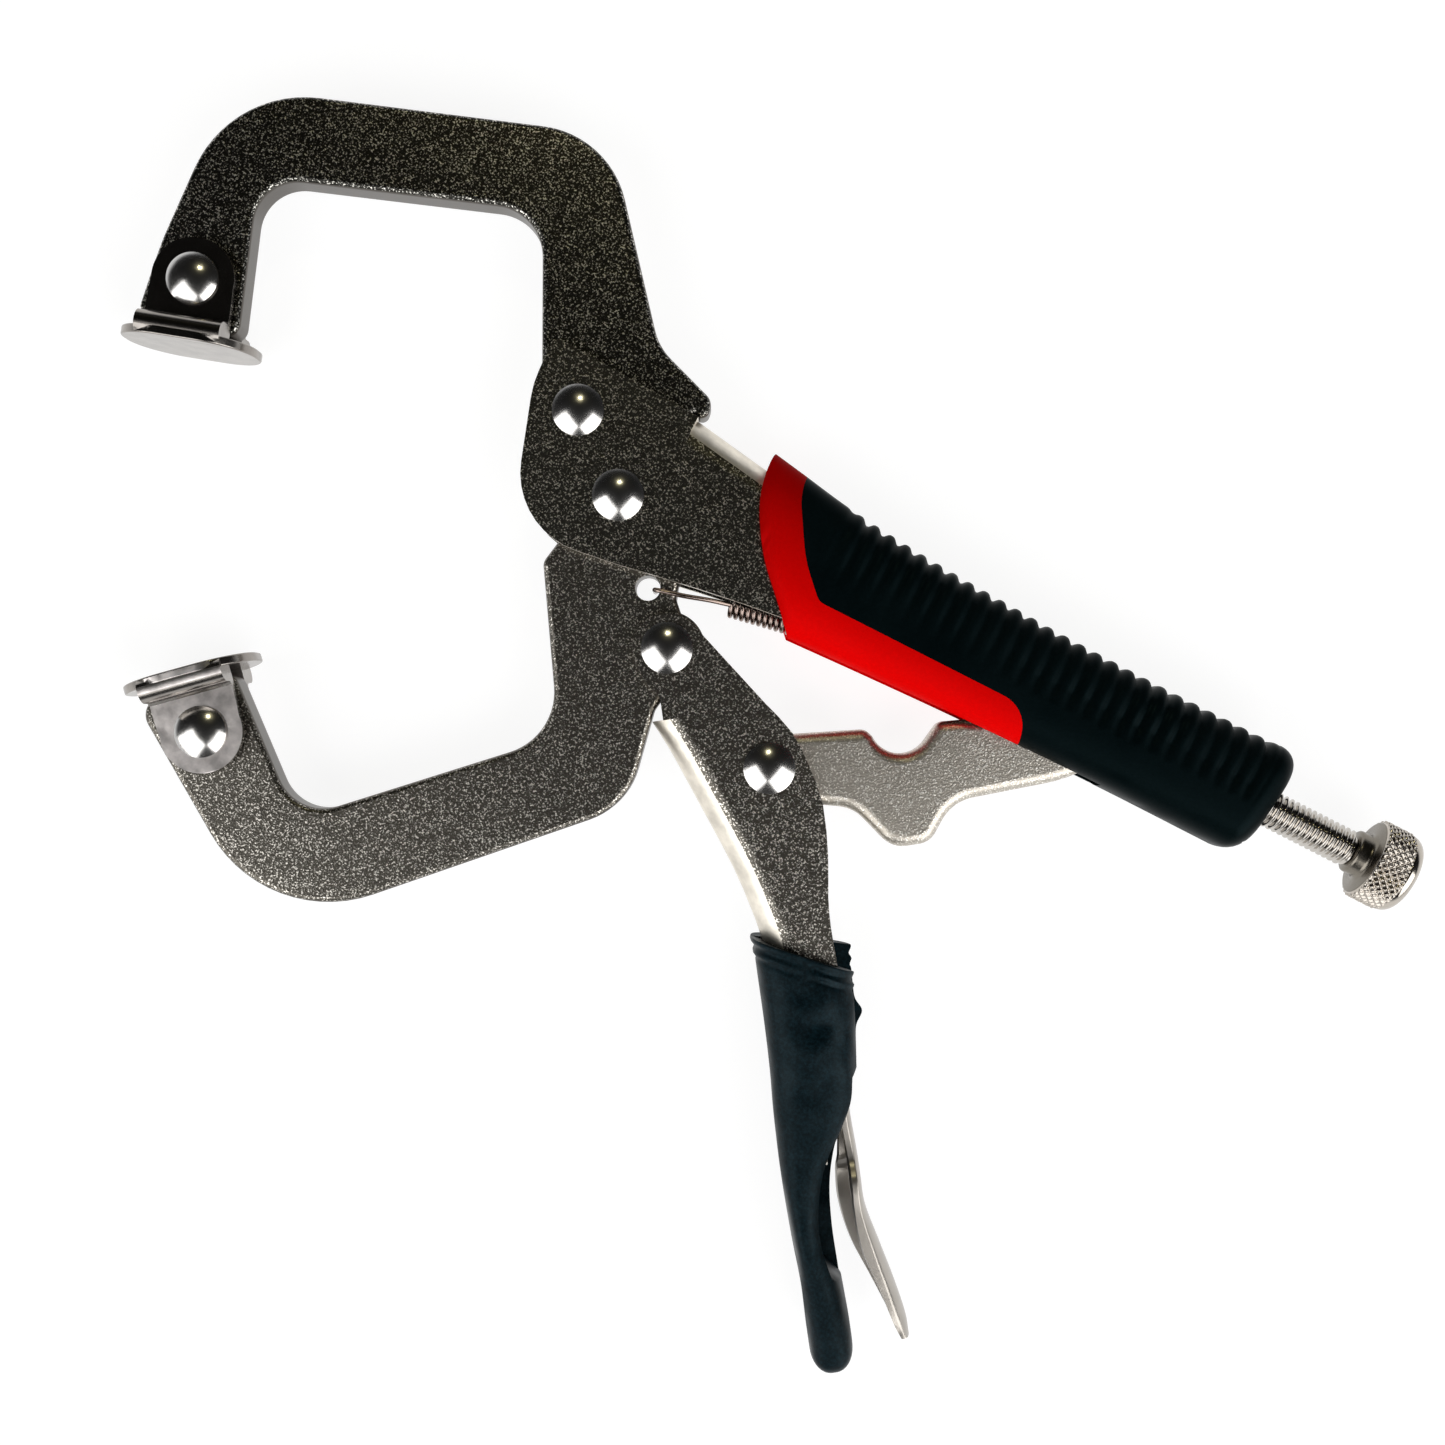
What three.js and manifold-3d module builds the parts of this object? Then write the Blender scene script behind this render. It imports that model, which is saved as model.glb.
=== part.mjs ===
// Locking C-clamp pliers with swivel pads, shown fully open and lying flat.
// Millimetres. Drawn about the jaw pivot: +X runs along the adjusting screw towards its knob,
// +Y towards the fixed jaw and +Z along the rivets. The finished group is then moved so that its
// origin is the middle of the underside of its box.

import * as THREE from "three";
import { mergeVertices } from "three/addons/utils/BufferGeometryUtils.js";
import Module from "manifold-3d";

const wasm = await Module();
wasm.setup();

// ---------------------------------------------------------------- driving dimensions
const PIVOT = {
  jaw: [0, 0],
  fixedJaw: [-14.6, 11.3],
  handle: [22.2, -22.4],
  upperPad: [-93.9, 0],
  lowerPad: [-52, -78.7],
};
const SCREW_Y = 3.8; // height of the adjusting screw's axis above the jaw pivot
const LOWER_TILT = THREE.MathUtils.degToRad(-55); // lean of the lower grip from +X
// These two are given in the lower handle's own frame, turned by LOWER_TILT about the jaw pivot.
const LINK_PIVOT = [57.24, 21.94];
const LEVER_PIVOT = [106, 26];

const PLATE = { half: 3.7, edge: 1.0 }; // jaw plates: half thickness and edge rounding
const LINK = { half: 3.7, edge: 2.2, tip: 3.2 };
const CHANNEL = { half: 6.1, sheet: 2.0 };
const LEVER_SHEET = 1.4;
const RIVET = { shank: 3.0, head: 5.1, rise: 2.1, gap: 0.1 };
const HOLE = 3.2; // radius of every rivet hole
const LEVER_PIN = 2.0;
const SPRING = { wire: 0.5, coil: 2.1, turns: 15, hole: [13.3, -13.5], holeRadius: 2.5 };
const SCREW = { radius: 3.85, tip: 116.3, point: 3.4, rodEnd: 161.7, bore: 4.05, barrel: 6.1 };
const BARREL = { start: 124, end: 141 };
const KNOB = { collar: 4.9, radius: 8.5, start: 162.0, face: 165.1, end: 174.0, round: 2.4 };
const PAD = { tilt: [18, -137.5], sheet: 1.8, face: 12.8, length: 27, width: 22, ear: 8.2, hem: 8.4 };
const PAD_GAP = 0.4; // between a pad's ear and the jaw plate
const FIT = 0.15; // gap between a grip and the steel inside it
const SEAM = 0.15; // gap between the red collar and the black grip

const TOLERANCE = 0.06; // how far a facet may stray from its arc
const STEPS = 8; // facets round a channel's half-round spine
const RING = 24; // points round a grip's section

const COLOURS = {
  nickel: { color: 0x77756f, roughness: 0.38, metalness: 1.0 },
  polished: { color: 0xc9c6c0, roughness: 0.12, metalness: 1.0 },
  pad: { color: 0xb5b1aa, roughness: 0.28, metalness: 1.0 },
  red: { color: 0xc40606, roughness: 0.5, metalness: 0.0 },
  black: { color: 0x10191c, roughness: 0.6, metalness: 0.0 },
};

// ---------------------------------------------------------------- drawing helpers
// How many facets an arc of `radius` needs over `sweep` radians.
function facets(radius, sweep) {
  const step = 2 * Math.acos(1 - Math.min(0.3, TOLERANCE / radius));
  return Math.max(2, Math.ceil(Math.abs(sweep) / step));
}

// An outline is a list of [x, y, radius] corners and [cx, cy, radius, from, to] arcs, in degrees.
function outline(items) {
  const onArc = ([cx, cy, r], degrees) => {
    const a = THREE.MathUtils.degToRad(degrees);
    return new THREE.Vector2(cx + r * Math.cos(a), cy + r * Math.sin(a));
  };
  const first = (item) => (item.length === 5 ? onArc(item, item[3]) : new THREE.Vector2(item[0], item[1]));
  const last = (item) => (item.length === 5 ? onArc(item, item[4]) : new THREE.Vector2(item[0], item[1]));
  const points = [];
  items.forEach((item, i) => {
    if (item.length === 5) {
      const steps = facets(item[2], THREE.MathUtils.degToRad(item[4] - item[3]));
      for (let k = 0; k <= steps; k++) points.push(onArc(item, item[3] + ((item[4] - item[3]) * k) / steps));
      return;
    }
    const corner = first(item);
    const before = last(items[(i + items.length - 1) % items.length]).sub(corner).normalize();
    const after = first(items[(i + 1) % items.length]).sub(corner).normalize();
    points.push(...roundCorner(corner, before, after, item[2] || 0));
  });
  return points.filter((p, i) => p.distanceTo(points[(i + 1) % points.length]) > 0.02);
}

// A corner rounded by an arc that touches both of its edges.
function roundCorner(corner, before, after, radius) {
  const half = Math.acos(THREE.MathUtils.clamp(before.dot(after), -1, 1)) / 2;
  if (radius === 0 || half > 1.56) return [corner];
  const centre = before.clone().add(after).normalize().multiplyScalar(radius / Math.sin(half)).add(corner);
  const reach = radius / Math.tan(half);
  const start = corner.clone().addScaledVector(before, reach).sub(centre);
  const end = corner.clone().addScaledVector(after, reach).sub(centre);
  const turn = Math.atan2(start.cross(end), start.dot(end));
  const steps = facets(radius, turn);
  const zero = new THREE.Vector2();
  return Array.from({ length: steps + 1 }, (_, k) =>
    start.clone().rotateAround(zero, (turn * k) / steps).add(centre)
  );
}

function solid(geometry) {
  const bare = geometry.clone();
  bare.deleteAttribute("normal");
  bare.deleteAttribute("uv");
  const merged = mergeVertices(bare);
  return closed(merged.attributes.position.array, merged.index.array);
}

// A solid from its points and triangles, turned to face outwards.
function closed(points, index) {
  const at = (i) => new THREE.Vector3().fromArray(points, 3 * i);
  let volume = 0;
  for (let i = 0; i < index.length; i += 3) {
    volume += at(index[i]).dot(at(index[i + 1]).cross(at(index[i + 2])));
  }
  const triVerts = new Uint32Array(index);
  if (volume < 0) triVerts.reverse();
  return new wasm.Manifold(
    new wasm.Mesh({ numProp: 3, vertProperties: new Float32Array(points), triVerts })
  );
}

function mesh(name, body, look) {
  const { vertProperties, triVerts } = body.getMesh();
  const geometry = new THREE.BufferGeometry();
  geometry.setAttribute("position", new THREE.BufferAttribute(new Float32Array(vertProperties), 3));
  geometry.setIndex(new THREE.BufferAttribute(new Uint32Array(triVerts), 1));
  geometry.computeVertexNormals();
  const part = new THREE.Mesh(geometry, new THREE.MeshStandardMaterial(COLOURS[look]));
  part.name = name;
  return part;
}

// An outline moved inwards by `distance`.
function inset(points, distance) {
  const normal = (a, b) => new THREE.Vector2(a.y - b.y, b.x - a.x).normalize();
  return points.map((p, i) => {
    const before = normal(points[(i + points.length - 1) % points.length], p);
    const after = normal(p, points[(i + 1) % points.length]);
    const reach = distance / (1 + before.dot(after));
    return before.add(after).multiplyScalar(reach).add(p);
  });
}

// A flat plate about `z`, with its edges rounded by `edge`. Outward corners are rounder than that.
function plate(items, half, edge = 0, z = 0) {
  const points = outline(items);
  if (THREE.ShapeUtils.isClockWise(points)) points.reverse();
  const levels = (edge ? [0, 45, 90] : [90]).map((degrees) => {
    const a = THREE.MathUtils.degToRad(degrees);
    return [edge * (1 - Math.sin(a)), half - edge * (1 - Math.cos(a))];
  });
  const rings = [...levels.map(([d, h]) => [d, -h]), ...levels.reverse()].map(([d, h]) =>
    inset(points, d).map((p) => new THREE.Vector3(p.x, p.y, z + h))
  );
  return loft(rings, THREE.ShapeUtils.triangulateShape(inset(points, edge), []));
}

function pinAlongZ([x, y], radius, half, z = 0) {
  const geometry = new THREE.CylinderGeometry(radius, radius, 2 * half, 24);
  geometry.rotateX(Math.PI / 2);
  geometry.translate(x, y, z);
  return solid(geometry);
}

// A turned shape about the screw's axis, from [radius, x] pairs that start and end on the axis.
function turnedOnScrew(profile, sides) {
  const geometry = new THREE.LatheGeometry(profile.map(([r, x]) => new THREE.Vector2(r, x)), sides);
  geometry.rotateZ(-Math.PI / 2);
  geometry.translate(0, SCREW_Y, 0);
  return solid(geometry);
}

// A closed solid over rings of equal length, with `cap` triangles over its two ends.
function loft(rings, cap) {
  const count = rings[0].length;
  const index = [];
  for (let r = 0; r + 1 < rings.length; r++) {
    for (let k = 0; k < count; k++) {
      const [a, b] = [r * count + k, r * count + ((k + 1) % count)];
      index.push(a, b, a + count, b, b + count, a + count);
    }
  }
  const top = (rings.length - 1) * count;
  for (const [a, b, c] of cap) index.push(c, b, a, top + a, top + b, top + c);
  return closed(rings.flat().flatMap((p) => [p.x, p.y, p.z]), index);
}

// A closed skin over rings that are each convex.
function skin(rings) {
  return loft(rings, rings[0].slice(2).map((_, k) => [0, k + 1, k + 2]));
}

// Rows of numbers, with extra rows between them on a smooth curve.
function smoothRows(rows, between) {
  const at = (i) => rows[THREE.MathUtils.clamp(i, 0, rows.length - 1)];
  const result = [];
  for (let i = 0; i + 1 < rows.length; i++) {
    for (let k = 0; k < between; k++) {
      const t = k / between;
      result.push(
        rows[i].map((p1, c) => {
          const [p0, p2, p3] = [at(i - 1)[c], at(i + 1)[c], at(i + 2)[c]];
          const [m1, m2] = [(p2 - p0) / 2, (p3 - p1) / 2];
          return (
            (2 * t ** 3 - 3 * t ** 2 + 1) * p1 +
            (t ** 3 - 2 * t ** 2 + t) * m1 +
            (3 * t ** 2 - 2 * t ** 3) * p2 +
            (t ** 3 - t ** 2) * m2
          );
        })
      );
    }
  }
  return [...result, rows[rows.length - 1]];
}

// The section of a folded sheet at x: a round spine at `spine`, flanks running to `near` (z > 0)
// and `far` (z < 0). `crown` is how deep the round of the spine is.
function foldedSection(x, spine, near, far, half, crown) {
  const side = Math.sign(near - spine);
  const ring = [];
  for (let k = 0; k <= STEPS; k++) {
    const a = Math.PI * (k / STEPS - 0.5);
    ring.push(new THREE.Vector3(x, spine + side * crown * (1 - Math.cos(a)), half * Math.sin(a)));
  }
  return [...ring, new THREE.Vector3(x, near, half), new THREE.Vector3(x, far, -half)];
}

// The soft, almost rectangular section of a grip. The side opposite `spine` may slope in z.
function gripSection(x, spine, near, far, half) {
  const squareness = 0.62;
  const soften = (value) => Math.sign(value) * Math.abs(value) ** squareness;
  return Array.from({ length: RING }, (_, k) => {
    const a = (2 * Math.PI * (k + 0.5)) / RING;
    const [across, along] = [soften(Math.cos(a)), soften(Math.sin(a))];
    const edge = (near * (1 + across) + far * (1 - across)) / 2;
    return new THREE.Vector3(x, (spine + edge) / 2 + (along * (spine - edge)) / 2, half * across);
  });
}

// ---------------------------------------------------------------- jaws
const JAW_HEAD = 9.3; // radius of the lower jaw's round head about the jaw pivot

function upperJaw() {
  const body = plate(
    [
      [-81.4, -6.3, 3],
      [-92.4, 24.1, 8.9],
      [-39.2, 43.6, 10.1],
      [-25.8, 17, 6],
      [-21.4, 7.5, 3],
      [0, 0, JAW_HEAD + 0.7, 162, 68],
      [5.4, 13, 1.4],
      [5.6, 21.4, 0],
      [8.6, 21.2, 1.5],
      [8, 25.4, 3],
      [-6.5, 30.2, 12],
      [-34.3, 63.3, 19],
      [-105.6, 37.6, 24],
      [-103.9, 4, 60],
      [-101.8, -10.2, 2],
      [-95.1, -10.9, 3],
    ],
    PLATE.half,
    PLATE.edge
  );
  return body
    .subtract(pinAlongZ(PIVOT.fixedJaw, HOLE, 10))
    .subtract(pinAlongZ(PIVOT.upperPad, HOLE, 10));
}

function lowerJaw() {
  const body = plate(
    [
      [-52.2, -65.6, 2.5],
      [-28, -85.9, 9.4],
      [10.8, -47.8, 12.5],
      [-7.6, -18.3, 2.5],
      [-6.4, -11.5, 2],
      [0, 0, JAW_HEAD, 205, -12],
      [17.2, -6.6, 3],
      [19.4, -13, 1.5],
      [...PIVOT.handle, 7.5, 96, -58],
      [25.4, -34.5, 3],
      [29.3, -54, 15],
      [-23.2, -108.5, 27],
      [-66.9, -79.9, 4],
    ],
    PLATE.half,
    PLATE.edge
  );
  return body
    .subtract(pinAlongZ(PIVOT.jaw, HOLE, 10))
    .subtract(pinAlongZ(PIVOT.handle, HOLE, 10))
    .subtract(pinAlongZ(PIVOT.lowerPad, HOLE, 10))
    .subtract(pinAlongZ(SPRING.hole, SPRING.holeRadius, 10));
}

// ---------------------------------------------------------------- handle channels
// Rows of [x, spine, open edge] along each folded channel.
const UPPER_SPINE = [
  [7, 20.9, -12],
  [22, 18.6, -9.3],
  [42, 16, -6.5],
  [62, 14.5, -5.4],
  [85, 13.5, -5.1],
  [107, 13.1, -5],
  [128, 12.9, -5],
];
const LOWER_SPINE = [
  [45, 0.2, 23.3],
  [51, 2.9, 27.4],
  [58, 5.6, 29.8],
  [66, 8.6, 31.4],
  [76, 12.2, 31],
  [84, 14.4, 29.9],
  [90, 15.7, 29.6],
  [97, 16.4, 29.8],
  [108, 16.7, 30],
  [119, 16.4, 29],
  [127, 16.2, 24.6],
  [136, 16.1, 22.4],
];

// A channel folded from sheet: two flat head plates, then the folded length behind them.
function foldedChannel(rows, head, headEnd) {
  const { half, sheet } = CHANNEL;
  const side = Math.sign(rows[0][2] - rows[0][1]);
  const inner = half - sheet;
  const smooth = smoothRows(rows, 2);
  const outer = smooth.map(([x, spine, edge]) =>
    foldedSection(x, spine, edge, edge, half, Math.min(half, 0.85 * Math.abs(edge - spine)))
  );
  const deep = smooth.map(([x, spine, edge]) => [x, spine + side * sheet, edge + side * 20]);
  const [front, back] = [deep[0], deep[deep.length - 1]];
  const hollow = [[headEnd - 1, ...front.slice(1)], ...deep, [back[0] + 1, ...back.slice(1)]];
  const gap = hollow.map(([x, spine, edge]) => foldedSection(x, spine, edge, edge, inner, inner));
  const slot = new THREE.BoxGeometry(80, 160, 2 * inner);
  slot.translate(headEnd - 40, 0, 0);
  return skin(outer)
    .add(plate(head, half))
    .subtract(skin(gap))
    .subtract(solid(slot));
}

function upperChannel() {
  const join = UPPER_SPINE[0][0] + 0.05;
  const head = [
    [-25.3, 22.2, 1.5],
    [-24.9, 12, 20],
    [-15.8, -15.4, 16],
    [join, -12, 0],
    [join, 20.9, 0],
  ];
  const barrel = turnedOnScrew(
    [[0, BARREL.start], [SCREW.barrel - 0.6, BARREL.start], [SCREW.barrel, BARREL.start + 0.6],
      [SCREW.barrel, BARREL.end - 0.8], [SCREW.barrel - 0.8, BARREL.end], [0, BARREL.end]],
    28
  );
  const bore = turnedOnScrew([[0, 120], [SCREW.bore, 120], [SCREW.bore, 150], [0, 150]], 28);
  return foldedChannel(UPPER_SPINE, head, UPPER_SPINE[0][0])
    .add(barrel)
    .add(springTab())
    .subtract(bore)
    .subtract(pinAlongZ(PIVOT.jaw, HOLE, 10))
    .subtract(pinAlongZ(PIVOT.fixedJaw, HOLE, 10));
}

// A tab punched inwards from one side of the upper channel, where the spring's rear eye hooks.
const TAB = { x: 63.5, y: -0.5 };
function springTab() {
  const tab = new THREE.BoxGeometry(2.2, 4.5, 5.6);
  tab.translate(TAB.x, TAB.y, 1.6);
  return solid(tab);
}

function lowerChannel() {
  const pivot = toLower(PIVOT.handle);
  const join = LOWER_SPINE[0][0] + 0.05;
  const head = [
    [...pivot, 6.9, 125, 275],
    [36.6, -0.1, 4],
    [40.4, 2.6, 2],
    [join, 2.6, 0],
    [join, 23.3, 0],
  ];
  return foldedChannel(LOWER_SPINE, head, LOWER_SPINE[0][0])
    .subtract(pinAlongZ(pivot, HOLE, 10))
    .subtract(pinAlongZ(LINK_PIVOT, HOLE, 10))
    .subtract(pinAlongZ(LEVER_PIVOT, LEVER_PIN + 0.1, 10));
}

// A point of the drawing frame in the lower handle's own frame, and back.
function toLower([x, y]) {
  const p = new THREE.Vector2(x, y).rotateAround(new THREE.Vector2(), -LOWER_TILT);
  return [p.x, p.y];
}
function fromLower([x, y]) {
  const p = new THREE.Vector2(x, y).rotateAround(new THREE.Vector2(), LOWER_TILT);
  return [p.x, p.y];
}

// ---------------------------------------------------------------- grips
// Rows of [x, spine side, open side, half width] for the upper sleeve.
const UPPER_SLEEVE = [
  [20, 22.6, -11.6, 8.7],
  [30, 20.9, -10.8, 8.9],
  [42, 18.9, -10.2, 9.2],
  [60, 17.2, -9.3, 9.6],
  [80, 16.2, -8.5, 9.9],
  [110, 15.6, -7.8, 10],
  [137, 15.7, -7.8, 10],
  [141.6, 14.6, -6.6, 9.4],
  [143.9, 11.6, -3, 7.4],
];
// Rows of [x, spine side, near edge, far edge, half width] for the lower sleeve, in its own frame.
const LOWER_SLEEVE = [
  [88, 14, 32.8, 32.8, 8.4],
  [98, 14, 32.6, 32.8, 8.5],
  [108, 14, 31.9, 33.4, 8.6],
  [117, 13.8, 30.9, 32.2, 8.7],
  [124, 13.4, 29.8, 31.5, 8.6],
  [130, 13.2, 26.4, 29, 8.5],
  [136, 13.1, 22.4, 26, 8.4],
  [143, 13.2, 19.9, 24, 8.3],
  [151, 13.5, 19, 23.2, 8.3],
  [160, 14.1, 20.8, 23, 8.3],
  [168, 14.4, 22, 23.1, 8.2],
  [173.4, 14.5, 22.2, 23, 8],
  [175.8, 14.9, 22, 22.8, 7.2],
  [177.2, 16.2, 21.4, 22.2, 6],
  [177.8, 17.8, 20.8, 21.4, 4],
];

// The steel of a channel as one solid lump, a little larger, to hollow a grip with.
function coreOf(rows) {
  const half = CHANNEL.half + FIT;
  const side = Math.sign(rows[0][2] - rows[0][1]);
  return skin(
    smoothRows(rows, 2).map(([x, spine, edge]) => {
      const depth = Math.min(half, 0.85 * Math.abs(edge - spine));
      return foldedSection(x, spine - side * FIT, edge + side * FIT, edge + side * FIT, half, depth);
    })
  );
}

function upperSleeve() {
  const { half, sheet } = CHANNEL;
  const inner = half - sheet;
  const rows = [...UPPER_SPINE, [BARREL.end + FIT, 12.9, -5]];
  const front = plate([[24.2, 30, 0], [23.4, 18, 14], [30.4, 1.6, 30], [43.6, -12.5, 3],
    [50, -20, 0], [200, -20, 0], [200, 30, 0]], 20);
  const slot = plate([[0, -20, 0], [108, -20, 0], [112, -2, 0], [112, 6, 0], [0, 6, 0]], inner);
  const exit = turnedOnScrew([[0, 130], [4.5, 130], [4.5, 150], [0, 150]], 28);
  return skin(UPPER_SLEEVE.map(([x, s, e, w]) => gripSection(x, s, e, e, w)))
    .intersect(front)
    .subtract(coreOf(rows))
    .subtract(slot)
    .subtract(exit);
}

// The red region of the upper sleeve in plan: a band along its front and its lower edge.
function collarRegion(grow) {
  return plate(
    [
      [10, 30, 0],
      [31.6 + grow, 30, 0],
      [31.4 + grow, 17, 14],
      [38.6 + grow, 5 + grow, 26],
      [44.6 + grow, -1 + grow, 3],
      [89.4, -1 + grow, 7],
      [93.4 + grow, -10, 0],
      [93.4 + grow, -20, 0],
      [10, -20, 0],
    ],
    20
  );
}

function lowerSleeve() {
  const { half, sheet } = CHANNEL;
  const inner = half - sheet;
  const ahead = 200;
  const mouth = plate([[90.1, 5, 0], [90.1, 14, 0], [99.2, 32.6, 0], [99.2, 45, 0],
    [ahead, 45, 0], [ahead, 5, 0]], 20);
  const slot = plate([[80, 17, 0], [140, 17, 0], [140, 45, 0], [80, 45, 0]], inner);
  const bay = plate([[118, 31, 0], [126, 24.8, 2], [131, 18.4, 3], [155, 17.4, 3], [163, 24, 3],
    [163, 45, 0], [118, 45, 0]], half + 0.4);
  return skin(LOWER_SLEEVE.map((row) => gripSection(...row)))
    .intersect(mouth)
    .subtract(coreOf([...LOWER_SPINE, [136 + FIT, 16.1, 22.4]]))
    .subtract(slot)
    .subtract(bay);
}

// ---------------------------------------------------------------- toggle link and release lever
function toggleLink() {
  const [x, y] = fromLower(LINK_PIVOT);
  const tip = [110.1, 2.5];
  return plate(
    [
      [x, y, 6.4, 121, 288],
      [69.4, -33.8, 8],
      [80, -37.4, 5.5],
      [86.2, -33, 4.5],
      [86.4, -23.8, 9],
      [104, -10, 30],
      [...tip, LINK.tip, -52, 118],
      [81, -8.2, 6],
      [76.7, -10.9, 2.4],
      [70, -14.5, 6.1, -8, -127],
      [64.4, -18.8, 2.4],
    ],
    LINK.half,
    LINK.edge
  ).subtract(pinAlongZ([x, y], HOLE, 10));
}

// Rows of [x, back, near edge, far edge, half width, crown] for the release lever.
const LEVER_ROWS = [
  [97, 27.6, 23, 23, 3.7, 1.1],
  [101, 29, 21.6, 21.6, 3.7, 1.2],
  [112, 29.1, 21.6, 21.6, 3.7, 1.2],
  [120, 28.9, 23.4, 23.4, 3.7, 1.2],
  [126.5, 28.5, 25.9, 25.9, 3.7, 1.2],
  [136.4, 28.8, 26.8, 24.9, 3.8, 1.1],
  [139.6, 28.8, 26.8, 24.2, 5.9, 1.1],
  [146, 28.9, 26.5, 23.8, 6, 1.3],
  [154, 30.7, 27, 25.1, 6, 1.9],
  [162, 32.6, 29.3, 28, 6, 2.2],
  [169, 33.9, 31, 30.6, 5.8, 2.1],
  [172.6, 34, 32.2, 32, 4.4, 1.2],
];

function releaseLever() {
  const smooth = smoothRows(LEVER_ROWS, 1);
  const outer = smooth.map((row) => foldedSection(...row));
  const hollow = smooth
    .slice(0, -1)
    .map(([x, back, , , half, crown]) =>
      foldedSection(x, back - LEVER_SHEET, 5, 5, half - LEVER_SHEET, Math.max(0.3, crown - 0.3))
    );
  const mouth = hollow[0].map((p) => p.clone().setX(p.x - 2));
  return skin(outer)
    .subtract(skin([mouth, ...hollow]))
    .subtract(pinAlongZ(LEVER_PIVOT, LEVER_PIN + 0.2, 10));
}

// ---------------------------------------------------------------- rivets and pins
// A rivet along z with a domed head beyond `seat` on each side.
function rivet(name, [x, y], seat) {
  const { shank, head, rise } = RIVET;
  const dome = [1, 0.85, 0.5, 0];
  const top = dome.map((r) => [r * head, seat + rise * (0.25 + 0.75 * Math.sqrt(1 - r * r))]);
  const upper = [[shank, seat], [head, seat], ...top];
  const lower = upper.map(([r, z]) => [r, -z]).reverse();
  const profile = [...lower, ...upper].map(([r, z]) => new THREE.Vector2(r, z));
  const geometry = new THREE.LatheGeometry(profile, 20);
  geometry.rotateX(Math.PI / 2);
  geometry.translate(x, y, 0);
  return mesh(name, solid(geometry), "polished");
}

// ---------------------------------------------------------------- swivel pads
// Drawn with the rivet at the origin and the clamping face looking along -Y.
function swivelPad(name, [x, y], degrees) {
  const { sheet, face, length, width, ear, hem } = PAD;
  const inner = PLATE.half + PAD_GAP;
  const round = width / 2 - 1;
  const disc = new THREE.ExtrudeGeometry(
    new THREE.Shape(outline([[-length / 2, -width / 2, round], [length / 2, -width / 2, round],
      [length / 2, width / 2, round], [-length / 2, width / 2, round]])),
    { depth: sheet, bevelEnabled: true, bevelThickness: 0.3, bevelSize: 0.3, bevelOffset: -0.3,
      bevelSegments: 1 }
  );
  disc.scale(1, 1, (sheet - 0.02) / (sheet + 0.6));
  disc.rotateX(-Math.PI / 2);
  disc.computeBoundingBox();
  disc.translate(0, -face - disc.boundingBox.min.y, 0);
  let body = solid(disc);
  const roll = 2; // radius of the folded hem
  for (const side of [1, -1]) {
    const section = outline([[inner, -face + 0.3, 0], [width / 2 - roll, -face + roll, roll, -90, 90],
      [inner + sheet + 0.6, -face + 2 * roll, 0.5], [inner + sheet, -face + 2 * roll + 0.6, 0],
      [inner, -face + 2 * roll + 0.6, 0]]);
    const fold = new THREE.ExtrudeGeometry(new THREE.Shape(section), { depth: 2 * hem, bevelEnabled: false });
    fold.rotateY(-Math.PI / 2);
    fold.translate(hem, 0, 0);
    if (side < 0) fold.rotateY(Math.PI);
    const cheek = plate([[-hem, -face + 1, 0], [hem, -face + 1, 0], [hem - 0.1, -4, 6],
      [0, 0, ear, -8, 188], [-hem + 0.1, -4, 6]], sheet / 2, 0, side * (inner + sheet / 2));
    body = body.add(solid(fold)).add(cheek);
  }
  const part = mesh(name, body.subtract(pinAlongZ([0, 0], HOLE, 12)), "pad");
  part.position.set(x, y, 0);
  part.rotation.z = THREE.MathUtils.degToRad(degrees);
  return part;
}

// ---------------------------------------------------------------- spring
// A close-wound tension spring between the lower jaw's hole and the upper channel's tab.
class SpringPath extends THREE.Curve {
  constructor() {
    super();
    const [x, y] = SPRING.hole;
    const point = (dx, dy, z) => new THREE.Vector3(x + dx, y + dy, z);
    const eye = (dx, dy) => new THREE.Vector3(TAB.x + dx, TAB.y + dy, 0);
    this.start = new THREE.Vector3(29.5, -8.9, 0);
    this.end = new THREE.Vector3(56.5, -3.8, 0);
    this.axis = this.end.clone().sub(this.start).normalize();
    this.side = new THREE.Vector3(-this.axis.y, this.axis.x, 0);
    this.lead = new THREE.CatmullRomCurve3([
      point(1.3, 0.3, -3.2),
      point(1.3, 0.3, 2.6),
      point(1.8, 0.4, 4.3),
      point(3.6, 0.9, 4.6),
      point(7.4, 1.9, 4.5),
      point(12, 3.4, 3.7),
      this.onCoil(0),
    ]);
    this.tail = new THREE.CatmullRomCurve3([
      this.onCoil(1),
      eye(-3.6, -2.6).setZ(1.6),
      eye(-0.6, -3.6),
      eye(1.5, -2.9),
      eye(2.1, -0.2),
      eye(1.2, 3.1),
    ]);
  }
  onCoil(t) {
    const a = 2 * Math.PI * SPRING.turns * t + Math.PI / 2;
    const p = this.start.clone().lerp(this.end, t);
    p.addScaledVector(this.side, SPRING.coil * Math.cos(a));
    return p.setZ(SPRING.coil * Math.sin(a));
  }
  getPoint(t) {
    if (t < 0.08) return this.lead.getPoint(t / 0.08);
    if (t > 0.95) return this.tail.getPoint((t - 0.95) / 0.05);
    return this.onCoil((t - 0.08) / 0.87);
  }
}

function returnSpring() {
  const r = SPRING.wire;
  const wire = [[r, 0], [0, r], [-r, 0], [0, -r]].map(([x, y]) => new THREE.Vector2(x, y));
  return solid(new THREE.ExtrudeGeometry(new THREE.Shape(wire), {
    steps: SPRING.turns * 9,
    extrudePath: new SpringPath(),
    bevelEnabled: false,
  }));
}

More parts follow.
